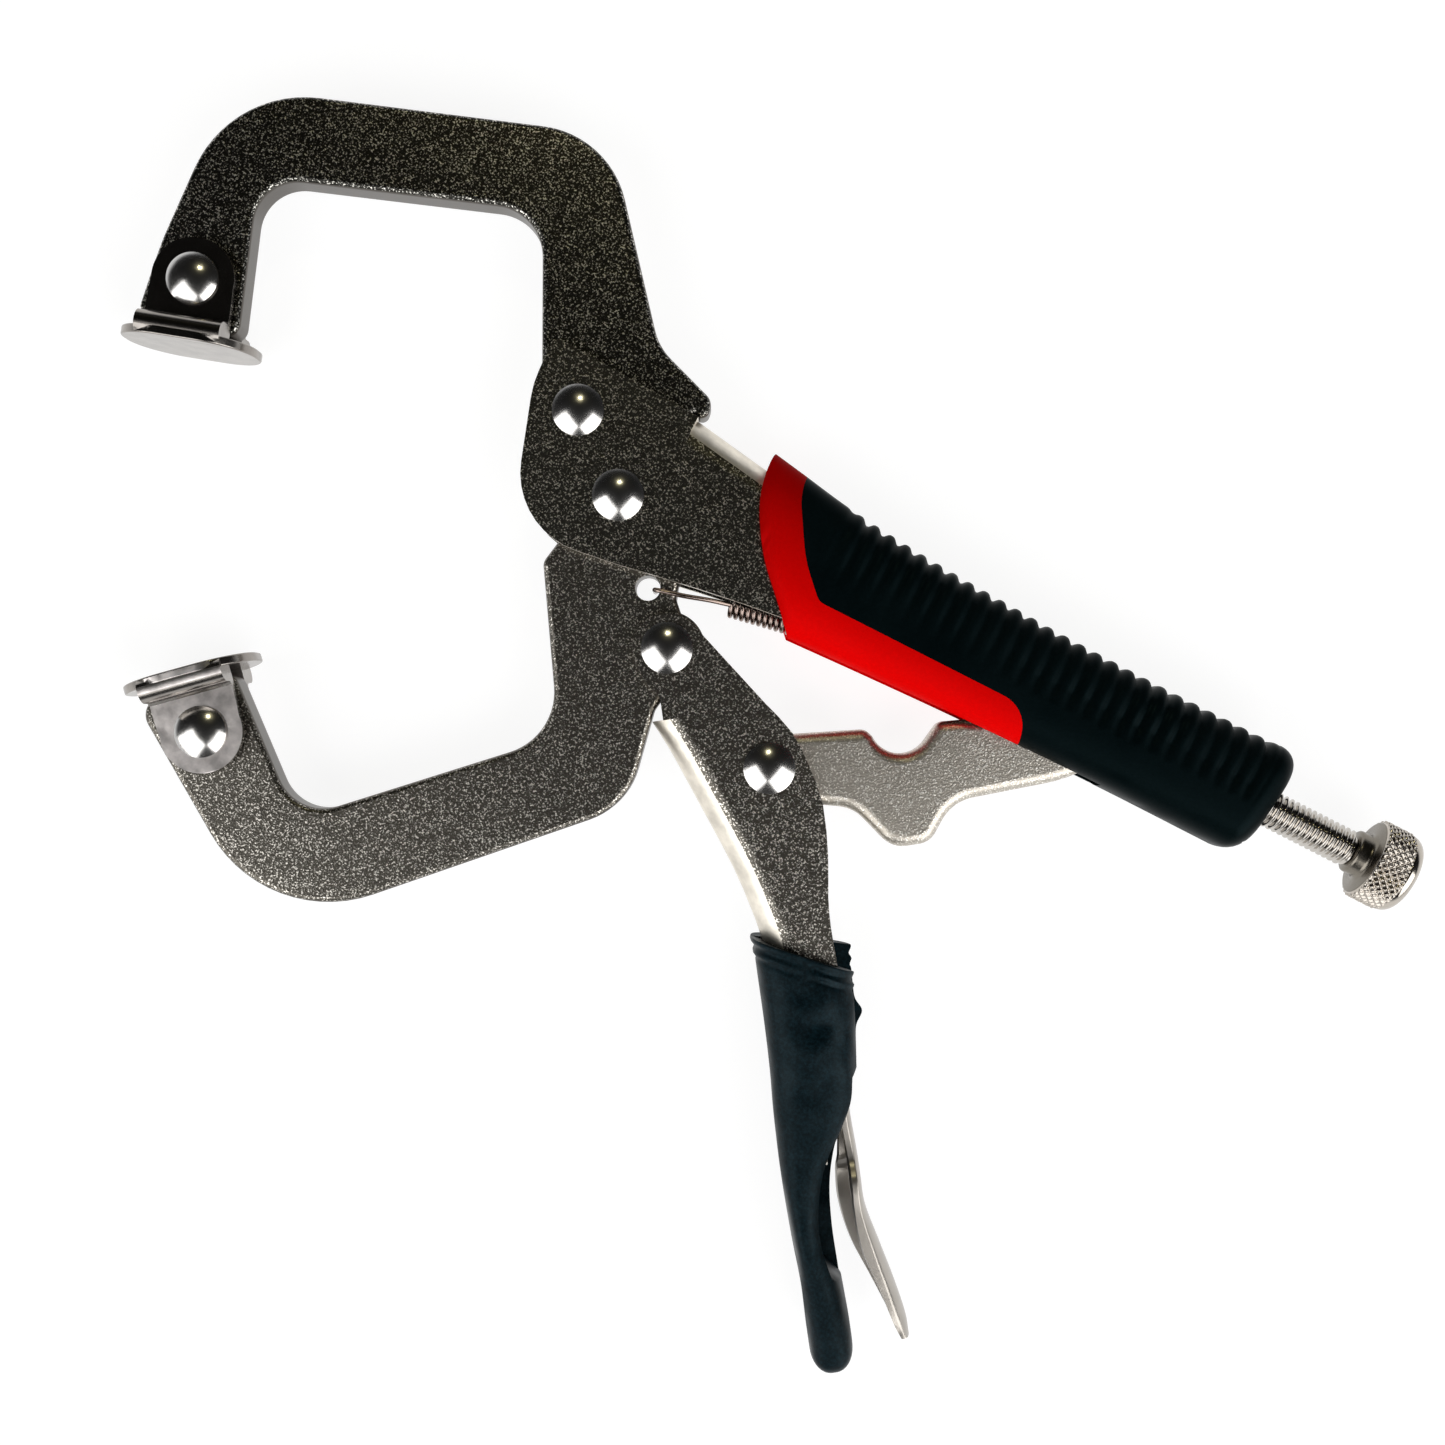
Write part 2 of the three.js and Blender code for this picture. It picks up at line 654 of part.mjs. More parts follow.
// ---------------------------------------------------------------- adjusting screw
function screwPoint() {
  const { tip, point } = SCREW;
  const end = tip + 3;
  return turnedOnScrew([[0, tip], [point - 1.2, tip], [point, tip + 1], [point, end], [0, end]], 28);
}

function screwRod() {
  const { radius, rodEnd, tip } = SCREW;
  const start = tip + 3.3;
  return turnedOnScrew(
    [[0, start], [radius - 0.8, start], [radius, start + 0.8], [radius, rodEnd], [0, rodEnd]], 28);
}

function screwKnob() {
  const { collar, radius, start, face, end, round } = KNOB;
  const rim = [0, 30, 60, 90].map((degrees) => {
    const a = THREE.MathUtils.degToRad(degrees);
    return [radius - round + round * Math.cos(a), end - round + round * Math.sin(a)];
  });
  return turnedOnScrew(
    [[0, start], [collar - 0.6, start], [collar, start + 0.7], [collar, face - 0.8],
      [collar + 0.5, face], [radius - 0.5, face], [radius, face + 0.5], ...rim, [0, end]],
    32
  );
}

// ---------------------------------------------------------------- assembly
const seat = CHANNEL.half + RIVET.gap;
const padSeat = PLATE.half + PAD_GAP + PAD.sheet + RIVET.gap;
const drawing = new THREE.Group();
const lower = new THREE.Group();
lower.rotation.z = LOWER_TILT;

const sleeve = upperSleeve();
drawing.add(
  mesh("upper_handle_channel", upperChannel(), "nickel"),
  mesh("upper_jaw", upperJaw(), "nickel"),
  rivet("upper_jaw_rivet", PIVOT.fixedJaw, seat),
  rivet("jaw_pivot_rivet", PIVOT.jaw, seat),
  rivet("upper_pad_rivet", PIVOT.upperPad, padSeat),
  mesh("upper_grip_collar", sleeve.intersect(collarRegion(0)), "red"),
  mesh("upper_grip", sleeve.subtract(collarRegion(SEAM)), "black"),
  mesh("return_spring", returnSpring(), "polished"),
  mesh("lower_jaw", lowerJaw(), "nickel"),
  rivet("handle_pivot_rivet", PIVOT.handle, seat),
  rivet("lower_pad_rivet", PIVOT.lowerPad, padSeat),
  mesh("toggle_link", toggleLink(), "nickel"),
  mesh("adjusting_screw_point", screwPoint(), "polished"),
  mesh("adjusting_screw", screwRod(), "polished"),
  mesh("adjusting_knob", screwKnob(), "polished"),
  swivelPad("upper_swivel_pad", PIVOT.upperPad, PAD.tilt[0]),
  swivelPad("lower_swivel_pad", PIVOT.lowerPad, PAD.tilt[1]),
  lower
);
lower.add(
  mesh("lower_handle_channel", lowerChannel(), "nickel"),
  rivet("link_rivet", LINK_PIVOT, seat),
  mesh("release_lever_pin", pinAlongZ(LEVER_PIVOT, LEVER_PIN, CHANNEL.half), "polished"),
  mesh("lower_grip", lowerSleeve(), "black"),
  mesh("release_lever", releaseLever(), "nickel")
);

const box = new THREE.Box3().setFromObject(drawing, true);
const middle = box.getCenter(new THREE.Vector3());
drawing.position.set(-middle.x, -middle.y, -box.min.z);

const pliers = new THREE.Group();
pliers.add(drawing);
export default pliers;
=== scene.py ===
# Locking C-clamp pliers, fully open, lying flat on a pale table and seen from straight above.
# Sizes are in millimetres in the drawing frame: origin at the jaw pivot, +X along the adjusting
# screw towards its knob, +Y towards the fixed jaw, +Z up. row() takes them to the part's own frame.
import math

import bpy
import bmesh
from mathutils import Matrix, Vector
from mathutils.geometry import tessellate_polygon


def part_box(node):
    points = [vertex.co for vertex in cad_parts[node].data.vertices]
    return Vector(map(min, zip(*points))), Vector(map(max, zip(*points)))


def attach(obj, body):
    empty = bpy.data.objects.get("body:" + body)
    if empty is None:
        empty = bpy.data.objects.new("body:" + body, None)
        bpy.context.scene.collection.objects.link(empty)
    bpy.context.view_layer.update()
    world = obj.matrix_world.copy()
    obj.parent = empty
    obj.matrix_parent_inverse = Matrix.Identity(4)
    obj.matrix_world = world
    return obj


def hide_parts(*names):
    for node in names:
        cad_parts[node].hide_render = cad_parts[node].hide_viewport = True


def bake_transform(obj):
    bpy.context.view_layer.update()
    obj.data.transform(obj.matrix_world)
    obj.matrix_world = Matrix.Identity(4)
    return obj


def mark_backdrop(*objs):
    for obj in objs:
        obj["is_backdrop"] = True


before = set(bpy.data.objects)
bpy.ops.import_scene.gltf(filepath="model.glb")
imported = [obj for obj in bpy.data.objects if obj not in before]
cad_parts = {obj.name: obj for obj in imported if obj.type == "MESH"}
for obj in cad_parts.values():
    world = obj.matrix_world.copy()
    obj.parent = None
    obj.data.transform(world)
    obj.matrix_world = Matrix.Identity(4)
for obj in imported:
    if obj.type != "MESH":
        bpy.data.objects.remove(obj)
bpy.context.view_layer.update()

MM = 0.001
TAU = 2 * math.pi
LOWER_TILT = math.radians(-55)  # how far the lower handle's own frame is turned

JAW_HALF, JAW_EDGE = 3.7, 1.1  # jaw plates: half thickness and edge rounding
LINK_HALF, LINK_EDGE = 3.7, 2.2
PIN_HOLE, HOLE_CHAMFER, HOLE_SIDES = 3.1, 0.25, 32
DOME_RISE, HEAD_DEPTH, SHANK = 1.65, 2.1, 3.0  # rivets: dome, whole head, shank radius
CORE_HALF, CORE_GAP = 6.25, 0.15  # the room a sleeve leaves for its channel
SLOT_HALF = 4.1  # the slot in both sleeves that the link and the lever pass through
LEVER_SHEET = 1.4
THROUGH = 20  # half height of a cutter that goes right through a piece
THREAD_PITCH, THREAD_DEPTH = 1.25, 0.72


def centre(node):
    """The middle of a node's box, in metres."""
    low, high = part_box(node)
    return (low + high) / 2


PIVOT = centre("jaw_pivot_rivet")
HANDLE = (centre("handle_pivot_rivet") - PIVOT) / MM
LINK = (centre("link_rivet") - PIVOT) / MM
SCREW_Y = (centre("adjusting_screw").y - PIVOT.y) / MM


def row(point, tilt=0.0):
    """A point of the drawing frame, turned by tilt about the jaw pivot, in metres."""
    x, y, z = point
    c, s = math.cos(tilt), math.sin(tilt)
    return PIVOT + Vector((x * c - y * s, x * s + y * c, z)) * MM


# ------------------------------------------------------------------ materials
# Noise scales, in cycles per metre.
PITS, STAINS, PATCHES, CLOUDS, LUMPS, FINE_GRAIN = 2900, 260, 75, 1400, 110, 2600


def tools_of(tree):
    """Two calls for a node tree: one links sockets, one adds a node with values on its sockets."""
    def add(kind, **values):
        node = tree.nodes.new(kind)
        for key, value in values.items():
            if hasattr(node, key):
                setattr(node, key, value)
            else:
                node.inputs[key.replace("_", " ").title()].default_value = value
        return node

    return tree.links.new, add


def nodes_of(name):
    """A new material, its link and add calls, and its shader."""
    mat = bpy.data.materials.new(name)
    mat.use_nodes = True
    return mat, *tools_of(mat.node_tree), mat.node_tree.nodes["Principled BSDF"]


def noise(add, link, scale, detail=2.0, roughness=0.55):
    """Noise fixed to the piece, at scale cycles per metre."""
    where = add("ShaderNodeTexCoord")
    node = add("ShaderNodeTexNoise", Scale=scale, Detail=detail, Roughness=roughness)
    link(where.outputs["Object"], node.inputs["Vector"])
    return node.outputs["Fac"]


def ramp(add, link, fac, stops):
    """A colour that runs through stops of (place, colour) as fac rises."""
    node = add("ShaderNodeValToRGB")
    elements = node.color_ramp.elements
    while len(elements) < len(stops):
        elements.new(0.5)
    for element, (place, colour) in zip(elements, stops):
        element.position = place
        element.color = (*colour, 1)
    link(fac, node.inputs["Fac"])
    return node.outputs["Color"]


def map_range(add, link, value, source, target):
    """The value, taken from the source range to the target range and held at its ends."""
    node = add("ShaderNodeMapRange")
    for socket, number in zip(("From Min", "From Max", "To Min", "To Max"), (*source, *target)):
        node.inputs[socket].default_value = number
    link(value, node.inputs["Value"])
    return node.outputs["Result"]


def bump(add, link, height, strength, distance, before=None):
    """A bumped normal, distance metres deep, on top of the normal before it."""
    node = add("ShaderNodeBump", Strength=strength, Distance=distance)
    link(height, node.inputs["Height"])
    if before:
        link(before, node.inputs["Normal"])
    return node.outputs["Normal"]


def blasted(name, dark, light, rough=0.3, strength=0.45):
    """Sand-blasted nickel plate: a dark pitted metal whose grains catch the light."""
    mat, link, add, shader = nodes_of(name)
    shader.inputs["Metallic"].default_value = 1.0
    shader.inputs["Roughness"].default_value = rough
    fine = noise(add, link, PITS, 2.2, 0.5)
    mix = 0.28  # how far the middle tone is from the dark one towards the light one
    middle = [(1 - mix) * a + mix * b for a, b in zip(dark, light)]
    link(ramp(add, link, fine, [(0.535, dark), (0.59, middle), (0.64, light)]),
         shader.inputs["Base Color"])
    link(bump(add, link, fine, strength, distance=0.0002), shader.inputs["Normal"])
    return mat


def polished(name, colour, rough, grain=0.0, scale=1500, worn=0.1):
    """Plated or bare steel, darker by worn in patches, with a grain at scale cycles per metre."""
    mat, link, add, shader = nodes_of(name)
    shader.inputs["Metallic"].default_value = 1.0
    shader.inputs["Roughness"].default_value = rough
    soft = noise(add, link, STAINS, 3.0)
    link(ramp(add, link, soft, [(0.3, [c * (1 - worn) for c in colour]), (0.7, colour)]),
         shader.inputs["Base Color"])
    if grain:
        rough_noise = noise(add, link, scale, 2.0)
        link(bump(add, link, rough_noise, grain, distance=0.00004), shader.inputs["Normal"])
    return mat


def painted_shade_by_y(add, link, colour, low, high, level):
    """Painted shade: the colour as it is below y = low, and level times as strong above y = high, in
    metres.
    """
    where, parts = add("ShaderNodeTexCoord"), add("ShaderNodeSeparateXYZ")
    link(where.outputs["Object"], parts.inputs["Vector"])
    scale = add("ShaderNodeVectorMath", operation="SCALE")
    link(colour, scale.inputs[0])
    link(map_range(add, link, parts.outputs["Y"], (low, high), (1.0, level)), scale.inputs["Scale"])
    return scale.outputs["Vector"]


def rubber(name, dark, light, rough, grain, gloss, fade=None, lumps=0.0, tint=(1, 1, 1)):
    """A soft moulded sleeve: a cloudy colour, shiny and dull patches, slow lumps and a fine grain; fade
    adds painted shade to the colour.
    """
    mat, link, add, shader = nodes_of(name)
    patches = noise(add, link, PATCHES, 2.0)
    link(map_range(add, link, patches, (0.35, 0.65), rough), shader.inputs["Roughness"])
    shader.inputs["Specular IOR Level"].default_value = gloss
    shader.inputs["Specular Tint"].default_value = (*tint, 1)
    cloud = noise(add, link, CLOUDS, 6.0, 0.7)
    colour = ramp(add, link, cloud, [(0.42, dark), (0.66, light)])
    if fade:
        colour = painted_shade_by_y(add, link, colour, *fade)
    link(colour, shader.inputs["Base Color"])
    slow = None
    if lumps:
        slow = bump(add, link, noise(add, link, LUMPS, 1.0), lumps, distance=0.002)
    fine = noise(add, link, FINE_GRAIN, 2.0)
    link(bump(add, link, fine, grain, distance=0.00005, before=slow), shader.inputs["Normal"])
    return mat


# The plates share one blasted nickel finish. Their darker and lighter base colours are partly each
# plate's own tone and partly painted shade and painted light, standing in for how each plate reflects
# the lamps.
JAW_PLATE = blasted("jaw_plate", (0.03, 0.029, 0.025), (0.95, 0.92, 0.84))
LOWER_PLATE = blasted("lower_jaw_plate", (0.115, 0.106, 0.09), (1.0, 0.95, 0.86))
CHANNEL_PLATE = blasted("handle_plate", (0.075, 0.072, 0.06), (1.0, 0.95, 0.84))
LINK_PLATE = blasted("link_plate", (0.50, 0.46, 0.40), (1.0, 0.97, 0.90), rough=0.36)
# A dark copy of the plate metal for the jaws' steep sides and edges: painted shade, standing in for the
# dark surround these faces reflect.
SHADED_SIDE_STEEL = polished("side_painted_shade", (0.13, 0.12, 0.108), 0.34, 0.5)
# A pale, smoother copy of the plate metal for the channels' spines and rounded edges: partly real wear
# on the spine, partly a painted highlight along the edges.
WORN_SPINE_AND_EDGE_LIGHT = polished("worn_spine_and_painted_edge_light", (0.93, 0.87, 0.76), 0.42, 0.7, 900, worn=0.3)
CHROME = polished("rivet_chrome", (0.72, 0.70, 0.675), 0.19, 0.9, 330)
SCREW_STEEL = polished("screw_steel", (0.56, 0.53, 0.49), 0.13)
KNOB_STEEL = polished("knob_steel", (0.52, 0.475, 0.42), 0.17)
# A darker copy of the knob steel for the knob's front face and neck: painted shade, standing in for the
# dimmer reflection those faces show.
KNOB_FACE_SHADE = polished("knob_face_painted_shade", (0.21, 0.19, 0.16), 0.26, 0.4)
WIRE = polished("spring_wire", (0.30, 0.235, 0.205), 0.2)
PAD_STEEL = polished("pad_steel", (0.34, 0.315, 0.29), 0.22, 0.2, worn=0.25)
# A dark copy of the pad steel for the upper pad's ears: painted shade, standing in for the dark
# surround they mirror.
SHADED_PAD_STEEL = polished("pad_steel_painted_shade", (0.13, 0.12, 0.11), 0.22, 0.2, worn=0.25)
# A pale copy of the pad steel for the lower pad's ears: painted light, standing in for the brighter
# reflection they show.
LIT_PAD_STEEL = polished("pad_steel_painted_light", (0.95, 0.89, 0.86), 0.3, 0.5, 700, worn=0.55)
LEVER_STEEL = polished("lever_steel", (0.44, 0.41, 0.37), 0.34, 0.4)
# The red sleeve is darkened towards +Y: painted shade of its rounded front band.
RED = rubber("red_sleeve", (0.72, 0.0, 0.0), (0.79, 0.0, 0.0), (0.5, 0.65), 0.05, 0.02,
             fade=(row((0, -9, 0)).y, row((0, 16, 0)).y, 0.4))
BLACK = rubber("black_sleeve", (0.0005, 0.002, 0.0022), (0.001, 0.003, 0.0035), (0.34, 0.55),
               0.12, 0.05, tint=(0.5, 0.9, 1.0))
BLUE_BLACK = rubber("lower_sleeve", (0.0005, 0.0025, 0.0035), (0.004, 0.013, 0.018), (0.3, 0.6),
                    0.5, 0.13, lumps=0.5, tint=(0.62, 0.88, 1.0))


# ------------------------------------------------------------------ drawing helpers
def on_arc(item, degrees):
    """A point of the circle [x, y, radius, ...]."""
    a = math.radians(degrees)
    return Vector((item[0] + item[2] * math.cos(a), item[1] + item[2] * math.sin(a)))


NEARLY_STRAIGHT = 1.56  # half angle of a corner, in radians, that is too flat to round


def outline(items, step=6.0):
    """Points of a list of [x, y, radius] corners and [cx, cy, radius, from, to] arcs."""
    points = []
    for i, item in enumerate(items):
        if len(item) == 5:
            count = max(2, math.ceil(abs(item[4] - item[3]) / step))
            points += [on_arc(item, item[3] + (item[4] - item[3]) * k / count)
                       for k in range(count + 1)]
            continue
        corner = Vector(item[:2])
        last, after = items[i - 1], items[(i + 1) % len(items)]
        back = (on_arc(last, last[4]) if len(last) == 5 else Vector(last[:2])) - corner
        ahead = (on_arc(after, after[3]) if len(after) == 5 else Vector(after[:2])) - corner
        back.normalize(), ahead.normalize()
        half = math.acos(max(-1, min(1, back.dot(ahead)))) / 2
        radius = item[2] if len(item) > 2 else 0
        if not radius or half > NEARLY_STRAIGHT:
            points.append(corner)
            continue
        middle = corner + (back + ahead).normalized() * (radius / math.sin(half))
        reach = radius / math.tan(half)
        start, end = corner + back * reach - middle, corner + ahead * reach - middle
        turn = math.atan2(start.x * end.y - start.y * end.x, start.dot(end))
        count = max(3, math.ceil(abs(math.degrees(turn)) / step))
        for k in range(count + 1):
            c, s = math.cos(turn * k / count), math.sin(turn * k / count)
            points.append(middle + Vector((start.x * c - start.y * s, start.x * s + start.y * c)))
    return [p for i, p in enumerate(points) if (p - points[i - 1]).length > 0.02]


def inset(points, distance):
    """The closed line moved inwards; its points run counter-clockwise."""
    result = []
    for i, p in enumerate(points):
        a, b = p - points[i - 1], points[(i + 1) % len(points)] - p
        n1, n2 = Vector((-a.y, a.x)).normalized(), Vector((-b.y, b.x)).normalized()
        result.append(p + (n1 + n2) * (distance / (1 + n1.dot(n2))))
    return result


def band(rings):
    """The flat list of points of rings of equal length, and the quads between them."""
    count = len(rings[0])
    faces = []
    for r in range(len(rings) - 1):
        for k in range(count):
            a, b = r * count + k, r * count + (k + 1) % count
            faces.append((a, b, b + count, a + count))
    return [p for ring in rings for p in ring], faces


def plate(items, half, edge=0.0, holes=(), z=0.0, steps=5):
    """A flat plate at height z with rounded edges and round holes, as (points, faces)."""
    points = outline(items)
    if sum(p.x * q.y - p.y * q.x for p, q in zip(points, points[1:] + points[:1])) < 0:
        points.reverse()
    levels = [(edge * (1 - math.sin(a)), half - edge * (1 - math.cos(a)))
              for a in (math.pi / 2 * k / steps for k in range(steps + 1))] if edge else [(0, half)]
    levels = [(d, -h) for d, h in levels] + [(d, h) for d, h in reversed(levels)]
    verts, faces = band([[(p.x, p.y, z + h) for p in inset(points, d)] for d, h in levels])
    count, top = len(points), (len(levels) - 1) * len(points)
    caps = [list(range(count)), list(range(top, top + count))]
    loops = [[caps[0]], [caps[1]]]
    for cx, cy, radius in holes:
        rim, wide = ([on_arc((cx, cy, size), 360 * k / HOLE_SIDES) for k in range(HOLE_SIDES)]
                     for size in (radius, radius + HOLE_CHAMFER))
        first, deep = len(verts), half - HOLE_CHAMFER
        extra, quads = band([[(p.x, p.y, z + h) for p in ring] for ring, h in
                             ((wide, -half), (rim, -deep), (rim, deep), (wide, half))])
        verts += extra
        faces += [tuple(first + i for i in quad) for quad in quads]
        loops[0].append(list(range(first, first + HOLE_SIDES)))
        loops[1].append(list(range(len(verts) - HOLE_SIDES, len(verts))))
    for rings in loops:
        flat = [i for ring in rings for i in ring]
        for tri in tessellate_polygon([[Vector(verts[i]) for i in ring] for ring in rings]):
            faces.append(tuple(flat[i] for i in tri))
    return verts, faces


def capped(rings):
    """A closed shape from rings: quads between them and a face at each end."""
    verts, faces = band(rings)
    count = len(rings[0])
    faces.append(tuple(range(count)))
    faces.append(tuple(range(len(verts) - count, len(verts))))
    return verts, faces


def turned(profile, sides, start=(0.0, 0.0)):
    """A solid turned about the z axis from (radius, z) pairs that start and end on the axis."""
    rings = [[(start[0] + r * math.cos(TAU * k / sides), start[1] + r * math.sin(TAU * k / sides), z)
              for k in range(sides)] for r, z in profile[1:-1]]
    verts, faces = band(rings)
    count = len(verts)
    verts += [(*start, profile[0][1]), (*start, profile[-1][1])]
    for k in range(sides):
        faces.append(((k + 1) % sides, k, count))
        faces.append((count - sides + k, count - sides + (k + 1) % sides, count + 1))
    return verts, faces


def lay_on_screw(shape, screw_y):
    """Turns a shape made about z so that it lies about the adjusting screw's axis."""
    verts, faces = shape
    return [(z, screw_y + y, -x) for x, y, z in verts], faces


def lump(shape, tilt=0.0):
    """A bare object from (points, faces), with its faces turned outwards."""
    verts, faces = shape
    mesh = bpy.data.meshes.new("lump")
    mesh.from_pydata([row(v, tilt) for v in verts], [], faces)
    work = bmesh.new()
    work.from_mesh(mesh)
    bmesh.ops.remove_doubles(work, verts=work.verts, dist=1e-7)
    bmesh.ops.recalc_face_normals(work, faces=work.faces)
    work.to_mesh(mesh)
    work.free()
    obj = bpy.data.objects.new("lump", mesh)
    bpy.context.scene.collection.objects.link(obj)
    return obj


def settle(obj):
    """Makes the object's modifiers part of its mesh."""
    bpy.context.view_layer.update()
    mesh = bpy.data.meshes.new_from_object(obj.evaluated_get(bpy.context.evaluated_depsgraph_get()))
    obj.modifiers.clear()
    obj.data = mesh
    return obj


def combine(obj, others, operation):
    """Joins the others to the object, or cuts them from it, and removes them."""
    for other in others:
        mod = obj.modifiers.new("join", "BOOLEAN")
        mod.operation, mod.object, mod.solver = operation, other, "MANIFOLD"
        settle(obj)
        bpy.data.objects.remove(other)
    return obj


def soften(obj, width, angle, segments=2):
    """Rounds the edges that turn by more than angle."""
    mod = obj.modifiers.new("edge", "BEVEL")
    mod.width, mod.segments, mod.limit_method = width * MM, segments, "ANGLE"
    mod.angle_limit = math.radians(angle)
    return settle(obj)


def finish(obj, name, material, body, nodes, sharp=40, weighted=False, side=None,
           steep=0.6):
    """Names a piece, gives it its finish, binds it to its body and hides the CAD nodes it stands in
    for.

    Faces steeper than steep get the side material, where there is one.
    """
    obj.name = obj.data.name = name
    mesh = obj.data
    mesh.materials.clear()
    mesh.materials.append(material)
    mesh.polygons.foreach_set("material_index", [0] * len(mesh.polygons))
    # For the jaws the side material is painted shade; for the channels it is partly wear and partly a
    # painted highlight.
    if side:
        mesh.materials.append(side)
        for face in mesh.polygons:
            face.material_index = int(abs(face.normal.z) < steep)
    mesh.polygons.foreach_set("use_smooth", [True] * len(mesh.polygons))
    mesh.set_sharp_from_angle(angle=math.radians(sharp))
    if weighted:
        mod = obj.modifiers.new("normals", "WEIGHTED_NORMAL")
        mod.keep_sharp = True
    if body:
        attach(obj, body)
    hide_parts(*nodes)
    return obj


def smoothstep(a, b, x):
    """0 at a and 1 at b, with a smooth rise between."""
    t = max(0.0, min(1.0, (x - a) / (b - a)))
    return t * t * (3 - 2 * t)


def at(rows, x):
    """The row at x, on a smooth curve through rows of (x, ...)."""
    i = max(0, min(len(rows) - 2, sum(1 for r in rows if r[0] <= x) - 1))
    x0, x1 = rows[i][0], rows[i + 1][0]
    t = max(0.0, min(1.0, (x - x0) / (x1 - x0)))

    def slope(j, c):
        a, b = max(0, j - 1), min(len(rows) - 1, j + 1)
        return (rows[b][c] - rows[a][c]) / (rows[b][0] - rows[a][0])

    result = []
    for c in range(1, len(rows[0])):
        p, q, m, n = rows[i][c], rows[i + 1][c], slope(i, c) * (x1 - x0), slope(i + 1, c) * (x1 - x0)
        result.append((2 * t**3 - 3 * t**2 + 1) * p + (t**3 - 2 * t**2 + t) * m
                      + (3 * t**2 - 2 * t**3) * q + (t**3 - t**2) * n)
    return result


def spread(start, end, step):
    """Numbers from start to end, evenly spaced by about step."""
    count = max(1, round(abs(end - start) / step))
    return [start + (end - start) * k / count for k in range(count + 1)]


def folded(x, spine, near, far, half, crown, steps=20):
    """The section of a folded sheet at x: a round back at spine, and flanks to near and to far."""
    side = math.copysign(1, near - spine)
    ring = []
    for k in range(steps + 1):
        a = math.pi * (k / steps - 0.5)
        ring.append((x, spine + side * crown * (1 - math.cos(a)), half * math.sin(a)))
    return ring + [(x, near, half), (x, far, -half)]


def grip_ring(x, spine, near, far, half, count=120, square=0.62):
    """The soft, almost rectangular section of a sleeve."""
    ring = []
    for k in range(count):
        a = TAU * (k + 0.5) / count
        c, s = math.cos(a), math.sin(a)
        across = math.copysign(abs(c) ** square, c)
        along = math.copysign(abs(s) ** square, s)
        edge = (near * (1 + across) + far * (1 - across)) / 2
        ring.append([x, (spine + edge) / 2 + along * (spine - edge) / 2, half * across])
    return ring


# ------------------------------------------------------------------ jaws and link
UPPER_PAD = (centre("upper_pad_rivet") - PIVOT) / MM
LOWER_PAD = (centre("lower_pad_rivet") - PIVOT) / MM
SPRING_HOLE = (13.3, -13.5, 2.5)  # in the lower jaw

# Both jaws put the dark side material on their steep sides and edges: painted shade.
upper_jaw = lump(plate([
    [-81.4, -6.3, 3], [-92.4, 24.1, 8.9], [-39.2, 43.6, 10.1], [-25.8, 17, 6], [-21.4, 7.5, 3],
    [0, 0, 10, 162, 68], [5.4, 13, 1.4], [5.6, 21.4, 0], [8.6, 21.2, 1.5], [8, 25.4, 3],
    [-6.5, 30.2, 12], [-34.3, 63.3, 19], [-105.6, 37.6, 24], [-103.9, 4, 60], [-101.8, -10.2, 2],
    [-95.1, -10.9, 3]], JAW_HALF, JAW_EDGE))
finish(upper_jaw, "upper_jaw_blasted", JAW_PLATE, "fixed_handle", ["upper_jaw"],
       weighted=True, side=SHADED_SIDE_STEEL)

lower_jaw = lump(plate([
    [-52.2, -65.6, 2.5], [-28, -85.9, 9.4], [10.8, -47.8, 12.5], [-7.6, -18.3, 2.5],
    [-6.4, -11.5, 2], [0, 0, 9.3, 205, -12], [17.2, -6.6, 3], [19.4, -13, 1.5],
    [HANDLE.x, HANDLE.y, 7.5, 96, -58], [25.4, -34.5, 3], [29.3, -54, 15], [-23.2, -108.5, 27],
    [-66.9, -79.9, 4]], JAW_HALF, JAW_EDGE, holes=[SPRING_HOLE]))
finish(lower_jaw, "lower_jaw_blasted", LOWER_PLATE, "lower_jaw", ["lower_jaw"],
       weighted=True, side=SHADED_SIDE_STEEL)

link = lump(plate([
    [LINK.x, LINK.y, 6.4, 121, 288], [69.4, -33.8, 8], [80, -37.4, 5.5], [86.2, -33, 4.5],
    [86.4, -23.8, 9], [104, -10, 30], [110.1, 2.5, 3.2, -52, 118], [81, -8.2, 6],
    [76.7, -10.9, 2.4], [70, -14.5, 6.1, -8, -127], [64.4, -18.8, 2.4]], LINK_HALF, LINK_EDGE, steps=7))
finish(link, "toggle_link_blasted", LINK_PLATE, "toggle_link", ["toggle_link"],
       weighted=True)


# ------------------------------------------------------------------ folded channels
def eased_copy(node, width):
    """A copy of a CAD node's mesh, with its sharp edges eased."""
    obj = bpy.data.objects.new(node + "_copy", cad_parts[node].data.copy())
    bpy.context.scene.collection.objects.link(obj)
    work = bmesh.new()
    work.from_mesh(obj.data)
    bmesh.ops.remove_doubles(work, verts=work.verts, dist=2e-6)
    flat = math.radians(0.6)
    bmesh.ops.dissolve_limit(work, angle_limit=flat, verts=work.verts, edges=work.edges)
    work.to_mesh(obj.data)
    work.free()
    for name in ("custom_normal", "sharp_edge", "sharp_face"):
        if name in obj.data.attributes:
            obj.data.attributes.remove(obj.data.attributes[name])
    return soften(obj, width, 40, 3)


